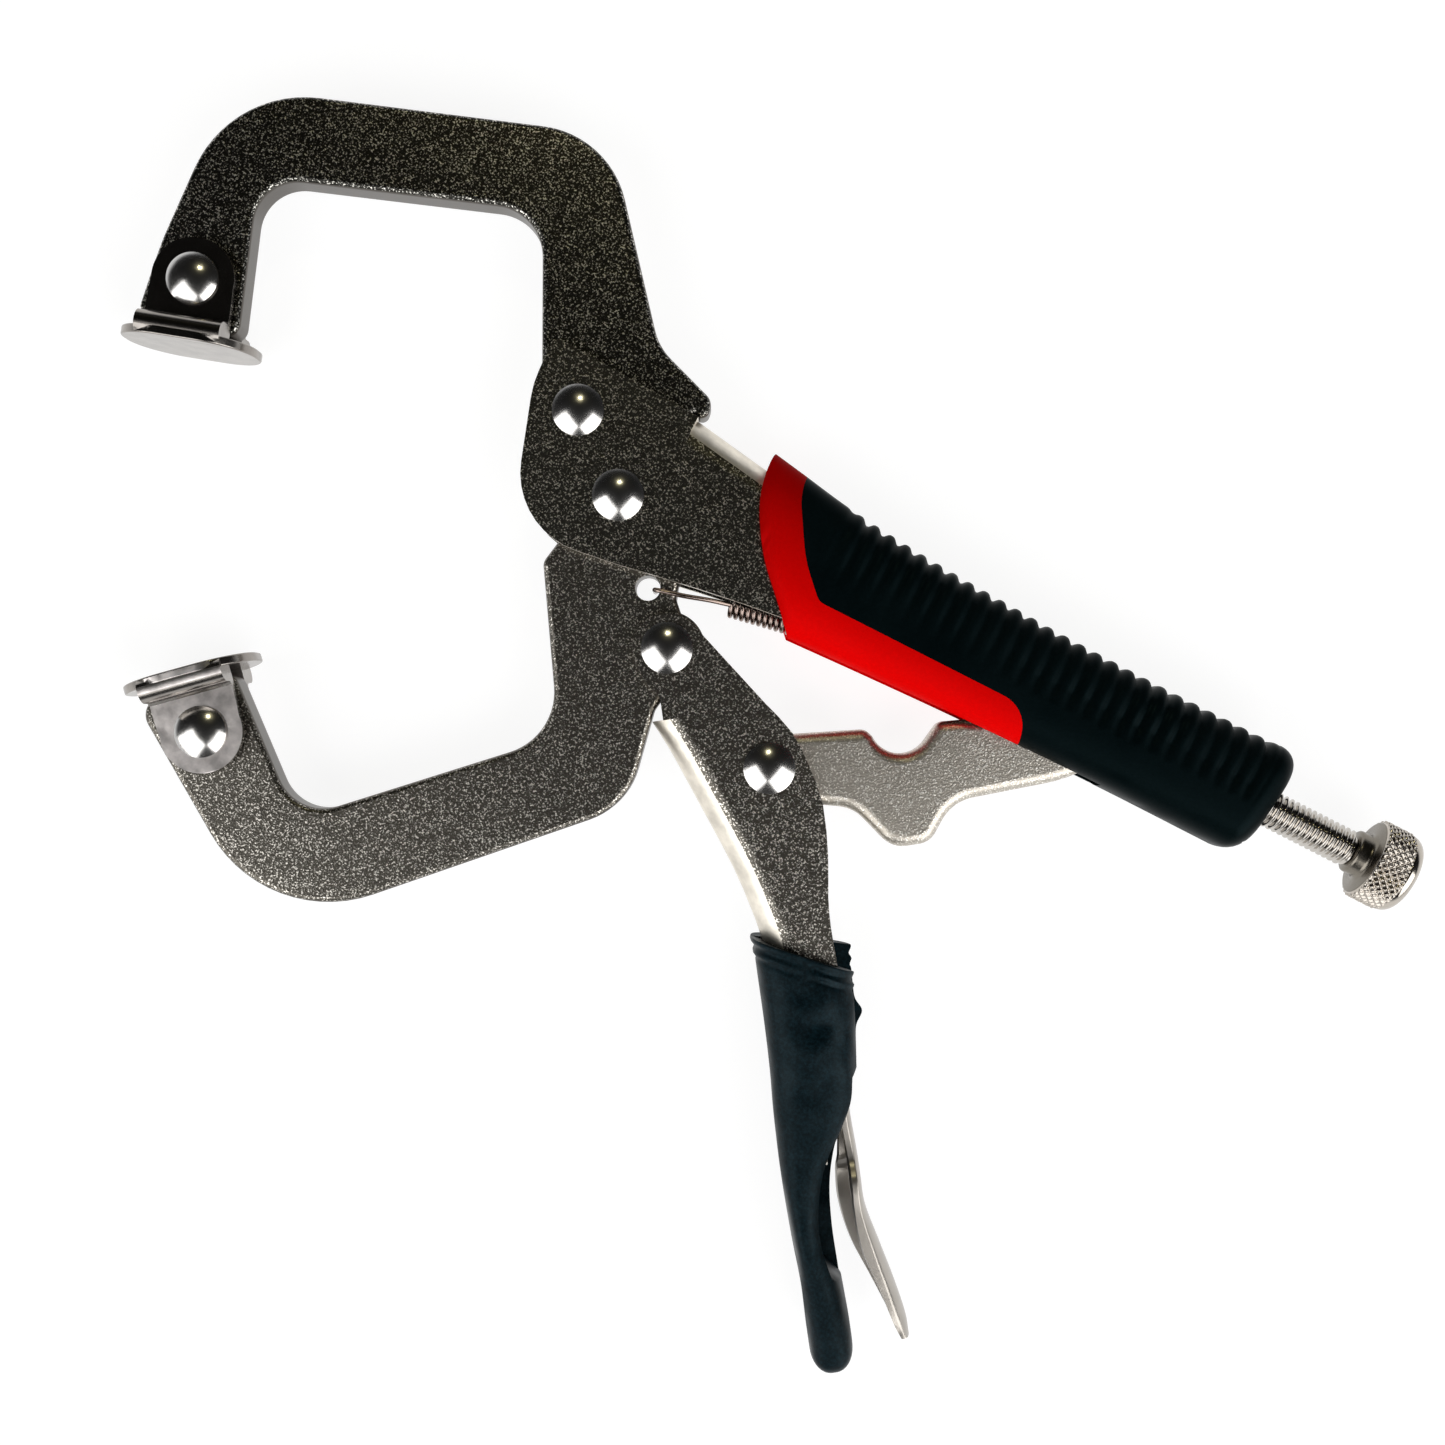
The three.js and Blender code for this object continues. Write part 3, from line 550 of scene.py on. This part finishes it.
# The steep faces, spine and eased edges take the pale side material: partly wear, partly painted
# highlight.
finish(eased_copy("upper_handle_channel", 0.65), "upper_channel_blasted", CHANNEL_PLATE,
       "fixed_handle", ["upper_handle_channel"], sharp=35, weighted=True,
       side=WORN_SPINE_AND_EDGE_LIGHT, steep=0.97)
finish(eased_copy("lower_handle_channel", 0.45), "lower_channel_blasted", LOWER_PLATE,
       "lower_handle", ["lower_handle_channel"], sharp=35, weighted=True,
       side=WORN_SPINE_AND_EDGE_LIGHT, steep=0.97)


# ------------------------------------------------------------------ rivets
def rivet(node, body):
    """A shank with two heads, each a low edge and a dome that is part of a ball."""
    low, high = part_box(node)
    middle, half = (centre(node) - PIVOT) / MM, (high.z - low.z) / 2 / MM
    head, steps, chamfer = (high.x - low.x) / 2 / MM, 14, 0.15
    ball = (head ** 2 + DOME_RISE ** 2) / (2 * DOME_RISE)
    rim = math.asin(head / ball)
    dome = [(ball * math.sin(a), half - ball * (1 - math.cos(a)))
            for a in (rim * (1 - k / steps) for k in range(steps))]
    seat = half - HEAD_DEPTH
    side = [(SHANK, seat), (head - chamfer, seat), (head, seat + chamfer),
            (head, half - DOME_RISE - 0.05)] + dome
    profile = [(0, -half)] + [(r, -z) for r, z in reversed(side)] + side + [(0, half)]
    obj = lump(turned(profile, 64, (middle.x, middle.y)))
    finish(obj, node + "_domed", CHROME, body, [node], sharp=50)


for node, body in (("upper_jaw_rivet", "fixed_handle"), ("jaw_pivot_rivet", "fixed_handle"),
                   ("upper_pad_rivet", "fixed_handle"), ("handle_pivot_rivet", "lower_jaw"),
                   ("lower_pad_rivet", "lower_jaw"), ("link_rivet", "lower_handle")):
    rivet(node, body)
pin_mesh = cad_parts["release_lever_pin"].data
pin_mesh.materials.clear()
pin_mesh.materials.append(CHROME)


# ------------------------------------------------------------------ swivel pads
def swivel_pad(node, body, pivot, degrees, ears):
    """A pad folded from sheet: a rounded face, two rolled hems and two ears on the rivet."""
    sheet, face, length, width, corner = 1.8, 12.8, 27, 22, 10
    ear, hem, inner, roll = 8.2, 8.4, 4.1, 2.4
    turn = math.radians(degrees)

    def place(shape):
        verts, faces = shape
        c, s = math.cos(turn), math.sin(turn)
        return [(pivot.x + x * c - y * s, pivot.y + x * s + y * c, z) for x, y, z in verts], faces

    disc, faces = plate([[x * length / 2, y * width / 2, corner]
                         for x, y in ((-1, -1), (1, -1), (1, 1), (-1, 1))], sheet / 2, 0.35)
    disc = [(x, -face + sheet / 2 + z, y) for x, y, z in disc]
    pad, others = lump(place((disc, faces))), []
    top = -face + 2 * roll
    for side in (1, -1):
        section = outline([[inner, -face + 0.3, 0], [width / 2 - roll, -face + roll, roll, -90, 90],
                           [inner + sheet + 0.6, top, 0.5], [inner + sheet, top + 0.6, 0],
                           [inner, top + 0.6, 0]])
        fold = capped([[(x, p.y, side * p.x) for p in section] for x in (-hem, hem)])
        cheek = plate([[-hem, -face + 1, 0], [hem, -face + 1, 0], [hem - 0.1, -4, 6],
                       [0, 0, ear, -8, 188], [-hem + 0.1, -4, 6]], sheet / 2,
                      z=side * (inner + sheet / 2))
        others += [lump(place(fold)), lump(place(cheek))]
    combine(pad, others, "UNION")
    bore = lump(place(plate([[0, 0, PIN_HOLE, 0, 350]], THROUGH)))
    combine(pad, [bore], "DIFFERENCE")
    finish(soften(pad, 0.22, 38), node + "_pressed", ears, body, [node],
           sharp=38, weighted=True, side=PAD_STEEL, steep=0.96)


# The upper pad's ears take a dark copy of the pad steel: painted shade.
swivel_pad("upper_swivel_pad", "upper_pad", UPPER_PAD, 18, SHADED_PAD_STEEL)
# The lower pad's ears take a pale copy of the pad steel: painted light.
swivel_pad("lower_swivel_pad", "lower_pad", LOWER_PAD, -137.5, LIT_PAD_STEEL)

# ------------------------------------------------------------------ upper sleeve
# Rows of (x, spine side, open side) for the room inside, and also half width for the outside.
UPPER_SPINE = [(7, 20.9, -12), (22, 18.6, -9.3), (42, 16, -6.5), (62, 14.5, -5.4),
               (85, 13.5, -5.1), (107, 13.1, -5), (128, 12.9, -5), (141.15, 12.9, -5)]
UPPER_SLEEVE = [(18, 22.9, -11.8, 8.6), (30, 20.9, -10.8, 8.8), (42, 18.9, -10.2, 9.2),
                (60, 17.2, -9.3, 9.6), (80, 16.2, -8.5, 9.9), (110, 15.6, -7.8, 10),
                (137, 15.7, -7.8, 10), (144, 15.7, -7.8, 10)]
# Rows of (y, x) for the front edge.
FRONT = [(-20, 52), (-12, 44), (-10, 42.6), (-4.3, 37.2), (1.6, 31.5), (8.1, 27.1), (13.4, 24.7),
         (20.2, 23.7), (24, 24.6), (40, 34)]
RIB_PITCH, FIRST_RIB, LAST_RIB = 3.6, 41.0, 139.0
UPPER_FRONT, UPPER_END, UPPER_ROUND = 19, 139.3, 4.6  # first and last section, end rounding
FRONT_ROUND, SKIN = 3.4, 6.35  # the front edge thins to the half width of the channel
SCREW_BORE = 4.5  # radius of the hole in the sleeve's end
SEAM = 0.03  # between the red sleeve and the black one


def sleeve_front(y):
    """Where the sleeve's front edge is at height y."""
    return at(FRONT, y)[0]


def ribbed(x, t):
    """How deep the finger grooves are at x, and at t from the open side (0) to the back (1)."""
    if not FIRST_RIB < x < LAST_RIB:
        return 0.0
    groove = (0.5 - 0.5 * math.cos(TAU * (x - FIRST_RIB) / RIB_PITCH)) ** 1.6
    rear = smoothstep(76, 90, x)
    low = 0.60 - 0.07 * rear - 0.022 * groove * rear
    blur = 0.16 * (1 - rear) + 0.018 * rear
    reach = smoothstep(low - blur, low + blur, t)
    fade = smoothstep(FIRST_RIB, FIRST_RIB + 5, x) * smoothstep(LAST_RIB, LAST_RIB - 3, x)
    crest = smoothstep(0.86, 1.0, t)
    return reach * ((0.62 + 0.5 * crest) * groove + 0.4 * rear * (1 - 0.6 * crest)) * max(0.35, fade)


def rounded_end(start, end, step, radius, steps):
    """Places of sections from start to end, then on round the sleeve's end."""
    return spread(start, end, step) + [end + radius * math.sin(math.pi / 2 * k / steps)
                                       for k in range(1, steps + 1)]


def end_pull(x, end, radius):
    """How far the rounded end pulls the section in at x."""
    over = max(0.0, x - end)
    return radius - math.sqrt(max(0.0, radius**2 - over**2))


def sleeve_surface(ribs):
    """The outside of the upper handle's sleeve, with or without its finger grooves."""
    rings = []
    for x in rounded_end(UPPER_FRONT, UPPER_END, 0.36, UPPER_ROUND, 9):
        spine, edge, half = at(UPPER_SLEEVE, x)
        pull = end_pull(x, UPPER_END, UPPER_ROUND)
        ring = []
        for _, y, z in grip_ring(x, spine - pull, edge + pull, edge + pull, half - pull):
            t = (y - edge) / (spine - edge)
            if ribs:
                deep = ribbed(x, t)
                middle = (spine + edge) / 2
                length = math.hypot(y - middle, z)
                y, z = middle + (y - middle) * (1 - deep / length), z * (1 - deep / length)
            front = max(0.0, min(1.0, (x - sleeve_front(y)) / FRONT_ROUND))
            if abs(z) > SKIN:
                lift = math.sqrt(1 - (1 - front) ** 2)
                z = math.copysign(SKIN + (abs(z) - SKIN) * lift, z)
            lean = smoothstep(126, 143, x) * (y - 16) * 0.115
            ring.append((x + lean, y, z))
        rings.append(ring)
    return capped(rings)


def upper_core():
    """The room for the upper channel."""
    rings = []
    for x in spread(8, UPPER_SPINE[-1][0], 2.5):
        spine, edge = at(UPPER_SPINE, x)
        edge -= CORE_GAP
        rings.append(folded(x, spine + CORE_GAP, edge, edge, CORE_HALF, CORE_HALF))
    return capped(rings)


def collar_region(grow):
    """The red part of the sleeve: a front band and a strip along the open side."""
    return plate([[10, 30, 0], [31.6 + grow, 30, 0], [31.4 + grow, 17, 14],
                  [38.6 + grow, 5 + grow, 26], [44.6 + grow, -1 + grow, 3], [89.4, -1 + grow, 7],
                  [93.4 + grow, -10, 0], [93.4 + grow, -20, 0], [10, -20, 0]], THROUGH)


def upper_sleeve(ribs):
    """The whole upper sleeve: cut to its front edge, hollow, slotted, and open for the screw."""
    shell = lump(sleeve_surface(ribs))
    before = lump(plate([[0, 40, 0]] + [[sleeve_front(y), y, 0] for y in spread(36, -18, 1.5)]
                        + [[0, -20, 0]], THROUGH))
    slot = lump(plate([[0, -20, 0], [108, -20, 0], [112, -2, 0], [112, 6, 0], [0, 6, 0]],
                      SLOT_HALF))
    bore = [(0, 130), (SCREW_BORE, 130), (SCREW_BORE, 150), (0, 150)]
    hole = lump(lay_on_screw(turned(bore, 48), SCREW_Y))
    return combine(shell, [before, lump(upper_core()), slot, hole], "DIFFERENCE")


red = combine(upper_sleeve(False), [lump(collar_region(0))], "INTERSECT")
finish(red, "upper_sleeve_red", RED, "fixed_handle", ["upper_grip_collar"], sharp=42)
black = combine(upper_sleeve(True), [lump(collar_region(SEAM))], "DIFFERENCE")
finish(black, "upper_sleeve_ribbed", BLACK, "fixed_handle", ["upper_grip"], sharp=50)

# ------------------------------------------------------------------ lower sleeve
# The same kind of rows in the lower handle's own frame; the outside has a near and a far edge.
LOWER_SPINE = [(84, 14.4, 29.9), (90, 15.7, 29.6), (97, 16.4, 29.8), (108, 16.7, 30),
               (119, 16.4, 29), (127, 16.2, 24.6), (136, 16.1, 22.4), (136.15, 16.1, 22.4)]
LOWER_SLEEVE = [(86, 14, 32.8, 33.9, 8.5), (98, 14, 32.6, 33.6, 8.5), (108, 14, 31.9, 33.2, 8.6),
                (117, 13.8, 30.9, 32.2, 8.7), (124, 13.4, 29.8, 31.5, 8.6),
                (130, 13.2, 26.4, 29, 8.5), (136, 13.1, 22.4, 26, 8.4), (143, 13.2, 19.9, 24, 8.3),
                (151, 13.5, 19, 23.2, 8.3), (160, 14, 20.8, 23, 8.3), (168, 13.9, 22, 23, 8.2),
                (172.7, 13.9, 22.3, 22.9, 8.1), (179, 13.9, 22.3, 22.9, 8.1)]
LOWER_FRONT, LOWER_END, LOWER_ROUND = 86, 172.7, 4.2
BAY_HALF = 6.5  # the bay under the lever's tail
# The mouth's x at the two y of MOUTH_SPAN, on the upper and on the lower flank.
MOUTH_SPAN, MOUTH_TOP, MOUTH_UNDER = (14, 33.8), (90.1, 99.8), (90.1, 95.2)
# Rolls and grooves round the mouth: (height, distance behind the mouth, width).
LIPS = [(0.45, 0.4, 0.7), (0.30, 2.9, 0.5), (-0.22, 4.1, 0.4), (-0.2, 1.8, 0.4)]


def lower_mouth(y, z):
    """Where the sleeve's mouth is at height y, on the flank that z is on."""
    start, end = MOUTH_TOP if z > 0 else MOUTH_UNDER
    return start + (y - MOUTH_SPAN[0]) * (end - start) / (MOUTH_SPAN[1] - MOUTH_SPAN[0])


def lower_surface():
    """The outside of the lower sleeve, with its lips and low swells at the lever's pin and rear."""
    rings = []
    for x in rounded_end(LOWER_FRONT, LOWER_END, 0.4, LOWER_ROUND, 10):
        spine, near, far, half = at(LOWER_SLEEVE, x)
        pull = end_pull(x, LOWER_END, LOWER_ROUND) * 0.72
        ring = []
        for _, y, z in grip_ring(x, spine + pull, near - pull, far - pull, half - pull):
            behind = x - lower_mouth(y, z)
            lip = sum(height * math.exp(-((behind - place) / width) ** 2)
                      for height, place, width in LIPS)
            at_pin = 0.55 * math.exp(-((x - 104) ** 2 + (y - 26) ** 2) / 9)
            behind_pin = 0.35 * math.exp(-((x - 113) ** 2 / 14 + (y - 22.5) ** 2 / 20))
            swell = math.copysign(abs(behind_pin - at_pin), z) * smoothstep(2, 7, abs(z))
            middle = (spine + (near + far) / 2) / 2
            length = math.hypot(y - middle, z)
            y += (y - middle) / length * lip
            z += z / length * lip + swell
            if z < 0:
                y += 1.5 * math.exp(-((x - 108.7) / 1.9) ** 2) * smoothstep(29, 33, y)
            ring.append((x, y, z))
        rings.append(ring)
    return capped(rings)


def lower_sleeve():
    """The whole lower sleeve: cut to its mouth, hollow, slotted, and open under the lever's tail."""
    shell = lump(lower_surface(), LOWER_TILT)
    before = [plate([[80, 0, 0], [lower_mouth(0, side), 0, 0], [lower_mouth(50, side), 50, 0],
                     [80, 50, 0]], THROUGH / 2, z=side * THROUGH / 2) for side in (1, -1)]
    rings = []
    for x in spread(84.2, LOWER_SPINE[-1][0], 2):
        spine, edge = at(LOWER_SPINE, x)
        rings.append(folded(x, spine - CORE_GAP, edge + CORE_GAP, edge + CORE_GAP, CORE_HALF,
                            min(CORE_HALF, 0.85 * (edge - spine))))
    slot = plate([[80, 17, 0], [140, 17, 0], [140, 45, 0], [80, 45, 0]], SLOT_HALF)
    bay = plate([[118, 31, 0], [126, 24.8, 2], [131, 18.4, 3], [155, 17.4, 3], [163, 24, 3],
                 [163, 45, 0], [118, 45, 0]], BAY_HALF)
    return combine(shell, [lump(s, LOWER_TILT) for s in (*before, capped(rings), slot, bay)],
                   "DIFFERENCE")


finish(lower_sleeve(), "lower_sleeve_soft", BLUE_BLACK, "lower_handle", ["lower_grip"],
       sharp=48)

# ------------------------------------------------------------------ release lever
LEVER_PIN = (106, 26, 2.2)
# Rows of (x, back, near edge, far edge, half width, crown) in the lower handle's own frame.
LEVER = [(97, 27.6, 23, 23, 3.7, 1.1), (101, 29, 21.6, 21.6, 3.7, 1.2),
         (112, 29.1, 21.6, 21.6, 3.7, 1.2), (120, 28.9, 23.4, 23.4, 3.7, 1.2),
         (126.5, 28.5, 25.9, 25.9, 3.7, 1.2), (136.4, 28.8, 26.8, 24.9, 3.8, 1.1),
         (139.6, 28.8, 26.8, 24.2, 5.9, 1.1), (146, 28.9, 26.5, 23.8, 6, 1.3),
         (154, 30.7, 27, 25.1, 6, 1.9), (162, 32.6, 29.3, 28, 6, 2.2),
         (169, 33.9, 31, 30.6, 5.8, 2.1), (172.6, 34, 32.2, 32, 4.4, 1.2)]


def release_lever():
    """The folded lever: its outside, less its inside and the hole for its pin."""
    first, closed = LEVER[0][0], 169.5  # it is solid sheet from closed to its end
    xs = spread(first, LEVER[-1][0], 1.0)
    outer = [folded(x, *at(LEVER, x), steps=24) for x in xs]
    inner = []
    for x in [first - 2] + [x for x in xs if x < closed]:
        back, _, _, half, crown = at(LEVER, max(first, x))
        inner.append(folded(x, back - LEVER_SHEET, 5, 5, half - LEVER_SHEET, max(0.3, crown - 0.3)))
    pin = plate([[*LEVER_PIN, 0, 345]], THROUGH)
    lever = combine(lump(capped(outer), LOWER_TILT),
                    [lump(capped(inner), LOWER_TILT), lump(pin, LOWER_TILT)], "DIFFERENCE")
    return soften(lever, 0.3, 45)


finish(release_lever(), "release_lever_folded", LEVER_STEEL, "release_lever", ["release_lever"],
       sharp=42, weighted=True)


# ------------------------------------------------------------------ adjusting screw
def span(node):
    """Where a node on the screw's axis starts and ends, and its radius."""
    low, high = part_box(node)
    return (low.x - PIVOT.x) / MM, (high.x - PIVOT.x) / MM, (high.z - low.z) / 2 / MM


def threaded(start, end, radius, pitch, depth):
    """A right-handed thread about z from start to end."""
    sides, run_out, flat, chamfer = 40, 0.8, 0.14, 0.5
    rings = []
    for z in spread(start, end, pitch / 10):
        ease = min(1.0, (z - start) / run_out, (end - z) / run_out)
        ring = []
        for k in range(sides):
            place = (z / pitch - k / sides) % 1.0
            flank = min(1.0, max(0.0, (abs(place - 0.5) * 2 - flat) / (1 - 2 * flat)))
            r = radius - depth * (1 - flank) - chamfer * (1 - max(0.0, ease))
            # The thread is right-handed once lay_on_screw has turned z to +X.
            ring.append((r * math.cos(TAU * k / sides), -r * math.sin(TAU * k / sides), z))
        rings.append(ring)
    return capped(rings)


start, end, radius = span("adjusting_screw")
rod = threaded(start, end, radius, THREAD_PITCH, THREAD_DEPTH)
finish(lump(lay_on_screw(rod, SCREW_Y)), "adjusting_screw_thread", SCREW_STEEL, "adjusting_screw",
       ["adjusting_screw"], sharp=60)

start, end, radius = span("adjusting_screw_point")
profile = [(0, start), (radius - 1.2, start), (radius - 0.4, start + 0.3), (radius, start + 1),
           (radius, end), (0, end)]
finish(lump(lay_on_screw(turned(profile, 48), SCREW_Y)), "adjusting_screw_tip", SCREW_STEEL,
       "screw_point", ["adjusting_screw_point"])


KNOB_NECK = 5.2  # radius that the neck in front of the knob stays within


def knob():
    """A short neck, a flat face, a rim with a cross knurl, and a rounded end."""
    start, end, radius = span("adjusting_knob")
    face, rim = start + 3.1, end - 2.6
    sides, teeth, depth, lead = 320, 32, 0.55, 1.66
    profile = [(4.1, start), (4.4, start + 0.25), (4.5, start + 0.6), (4.5, face - 0.9),
               (4.7, face - 0.35), (5.3, face), (radius - 1.1, face), (radius - 0.75, face + 0.12),
               (radius - 0.55, face + 0.4)]
    knurl = [(radius - 0.02, z) for z in spread(face + 0.55, rim, 0.11)]
    tail = [(radius - 0.35, rim + 0.12)] + [
        (radius - 2.6 + 2.3 * math.cos(a), end - 2.35 + 2.35 * math.sin(a))
        for a in (math.pi / 2 * k / 8 for k in range(9))] + [(3.4, end), (3.0, end - 0.25)]
    rings = []
    for r, z in profile + knurl + tail:
        ring = []
        for k in range(sides):
            around = teeth * k / sides
            deep = 0.0
            if face + 0.5 < z <= rim:
                for way in (1, -1):
                    off = (around + way * (z - face) / lead) % 1.0
                    deep = max(deep, 1 - min(off, 1 - off) * 2.6)
            size = r - depth * deep
            ring.append((size * math.cos(TAU * k / sides), size * math.sin(TAU * k / sides), z))
        rings.append(ring)
    return capped(rings)


knurled = finish(lump(lay_on_screw(knob(), SCREW_Y)), "adjusting_knob_knurled", KNOB_STEEL,
                 "adjusting_screw", ["adjusting_knob"], sharp=50)
knurled.data.materials.append(KNOB_FACE_SHADE)
screw_axis = row((0, SCREW_Y, 0))
# The front face and the neck take the darker copy of the steel: painted shade.
for face in knurled.data.polygons:
    off_axis = (face.center - screw_axis).yz.length
    face.material_index = int(face.normal.x < -0.9 or off_axis < KNOB_NECK * MM)


# ------------------------------------------------------------------ return spring
def curve_points(points, per):
    """A smooth line through points, with per steps between each two."""
    result = []
    for i in range(len(points) - 1):
        p0, p1, p2, p3 = (Vector(points[max(0, min(len(points) - 1, j))]) for j in
                          (i - 1, i, i + 1, i + 2))
        for k in range(per):
            t = k / per
            result.append(0.5 * (2 * p1 + (p2 - p0) * t + (2 * p0 - 5 * p1 + 4 * p2 - p3) * t * t
                                 + (3 * p1 - p0 - 3 * p2 + p3) * t**3))
    return result + [Vector(points[-1])]


def wire(path, radius, sides=10):
    """A round wire along a path."""
    rings, side = [], Vector((0.31, 0.2, 1))
    for i, p in enumerate(path):
        along = (path[min(i + 1, len(path) - 1)] - path[max(0, i - 1)]).normalized()
        side = (side - along * along.dot(side)).normalized()
        other = along.cross(side)
        rings.append([tuple(p + (side * math.cos(TAU * k / sides) + other * math.sin(TAU * k / sides))
                            * radius) for k in range(sides)])
    return capped(rings)


def return_spring():
    """A close coil, with a hook into the lower jaw's hole and a tail inside the upper handle."""
    first, last = Vector((29.5, -8.9, 0)), Vector((56.5, -3.8, 0))
    turns, coil, wire_radius, steps = 23, 2.05, 0.48, 22
    axis = (last - first).normalized()
    side = Vector((-axis.y, axis.x, 0))

    def on_coil(t):
        a = TAU * turns * t + math.pi / 2
        return first.lerp(last, t) + side * (coil * math.cos(a)) + Vector((0, 0, coil * math.sin(a)))

    hx, hy, _ = SPRING_HOLE
    lead = [(hx + 1.3, hy + 0.3, -3.2), (hx + 1.3, hy + 0.3, 2.6), (hx + 1.8, hy + 0.4, 4.3),
            (hx + 3.6, hy + 0.9, 4.6), (hx + 7.4, hy + 1.9, 4.5), (hx + 12, hy + 3.4, 3.7), on_coil(0)]
    tx, ty = 63.5, -0.5
    tail = [on_coil(1), (tx - 3.6, ty - 2.6, 1.6), (tx - 0.6, ty - 3.6, 0), (tx + 1.5, ty - 2.9, 0),
            (tx + 2.1, ty - 0.2, 0), (tx + 1.2, ty + 3.1, 0)]
    coils = [on_coil(k / (turns * steps)) for k in range(turns * steps + 1)]
    return wire(curve_points(lead, 10)[:-1] + coils + curve_points(tail, 8)[1:], wire_radius)


spring = lump(return_spring())
finish(spring, "return_spring_coil", WIRE, None, ["return_spring"], sharp=60)
row((57, -4.1, 0))
row((16.5, -12.7, 0))
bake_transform(spring)

# ------------------------------------------------------------------ table, light and camera
VIEW = math.radians(27)  # how far the tool's long axis is turned in the picture
CAMERA_HEIGHT, HALF_VIEW = 345, 144.5  # above the tool's middle plane, and what is seen there
RIGHT = Vector((math.cos(VIEW), math.sin(VIEW), 0))
UP = Vector((-math.sin(VIEW), math.cos(VIEW), 0))
AIM = row((38.56, -30.49, 0))

mat, _, _, shader = nodes_of("pale_table")
shader.inputs["Base Color"].default_value = (0.2, 0.2, 0.2, 1)
shader.inputs["Roughness"].default_value = 0.9
shader.inputs["Specular IOR Level"].default_value = 0.1
shader.inputs["Emission Color"].default_value = (1, 1, 1, 1)
shader.inputs["Emission Strength"].default_value = 0.88
floor_mesh = bpy.data.meshes.new("table")
reach, under = 3.0, -0.0002
floor_mesh.from_pydata([(x * reach, y * reach, under) for x, y in ((-1, -1), (1, -1), (1, 1), (-1, 1))],
                       [], [(0, 1, 2, 3)])
floor_mesh.materials.append(mat)
floor = bpy.data.objects.new("table", floor_mesh)
bpy.context.scene.collection.objects.link(floor)


def softbox(name, right, up, height, width, depth, power, colour=(1, 1, 1)):
    """A soft light placed by picture directions about the tool, facing it."""
    data = bpy.data.lights.new(name, "AREA")
    data.shape, data.size, data.size_y = "RECTANGLE", width, depth
    data.energy, data.color = power, colour
    obj = bpy.data.objects.new(name, data)
    bpy.context.scene.collection.objects.link(obj)
    obj.location = AIM + RIGHT * right + UP * up + Vector((0, 0, height))
    obj.rotation_euler = (AIM - obj.location).to_track_quat("-Z", "Y").to_euler()
    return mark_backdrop(obj)


softbox("key_left", -0.62, -0.44, 0.62, 1.0, 0.95, 7)
softbox("key_right", 0.58, -0.52, 0.62, 1.0, 0.95, 9)
softbox("glint", 0.0, 0.55, 0.62, 0.06, 0.06, 0.35, (1, 0.93, 0.6))

# The surround is dark overhead, as a studio is, and pale along the horizon.
world = bpy.data.worlds.new("studio")
world.use_nodes = True
link_world, add_world = tools_of(world.node_tree)
where, parts = add_world("ShaderNodeTexCoord"), add_world("ShaderNodeSeparateXYZ")
link_world(where.outputs["Generated"], parts.inputs["Vector"])
background = world.node_tree.nodes["Background"]
background.inputs["Color"].default_value = (0.96, 0.98, 1.0, 1)
link_world(map_range(add_world, link_world, parts.outputs["Z"], (0.10, 0.22), (0.85, 0.008)),
           background.inputs["Strength"])
bpy.context.scene.world = world
bpy.context.scene.view_settings.view_transform = "Standard"

camera_data = bpy.data.cameras.new("camera")
camera_data.angle = 2 * math.atan(HALF_VIEW / CAMERA_HEIGHT)
camera_data.clip_start = 0.01
camera = bpy.data.objects.new("camera", camera_data)
bpy.context.scene.collection.objects.link(camera)
camera.location = AIM + Vector((0, 0, CAMERA_HEIGHT * MM))
camera.rotation_euler = (0, 0, VIEW)
bpy.context.scene.camera = camera
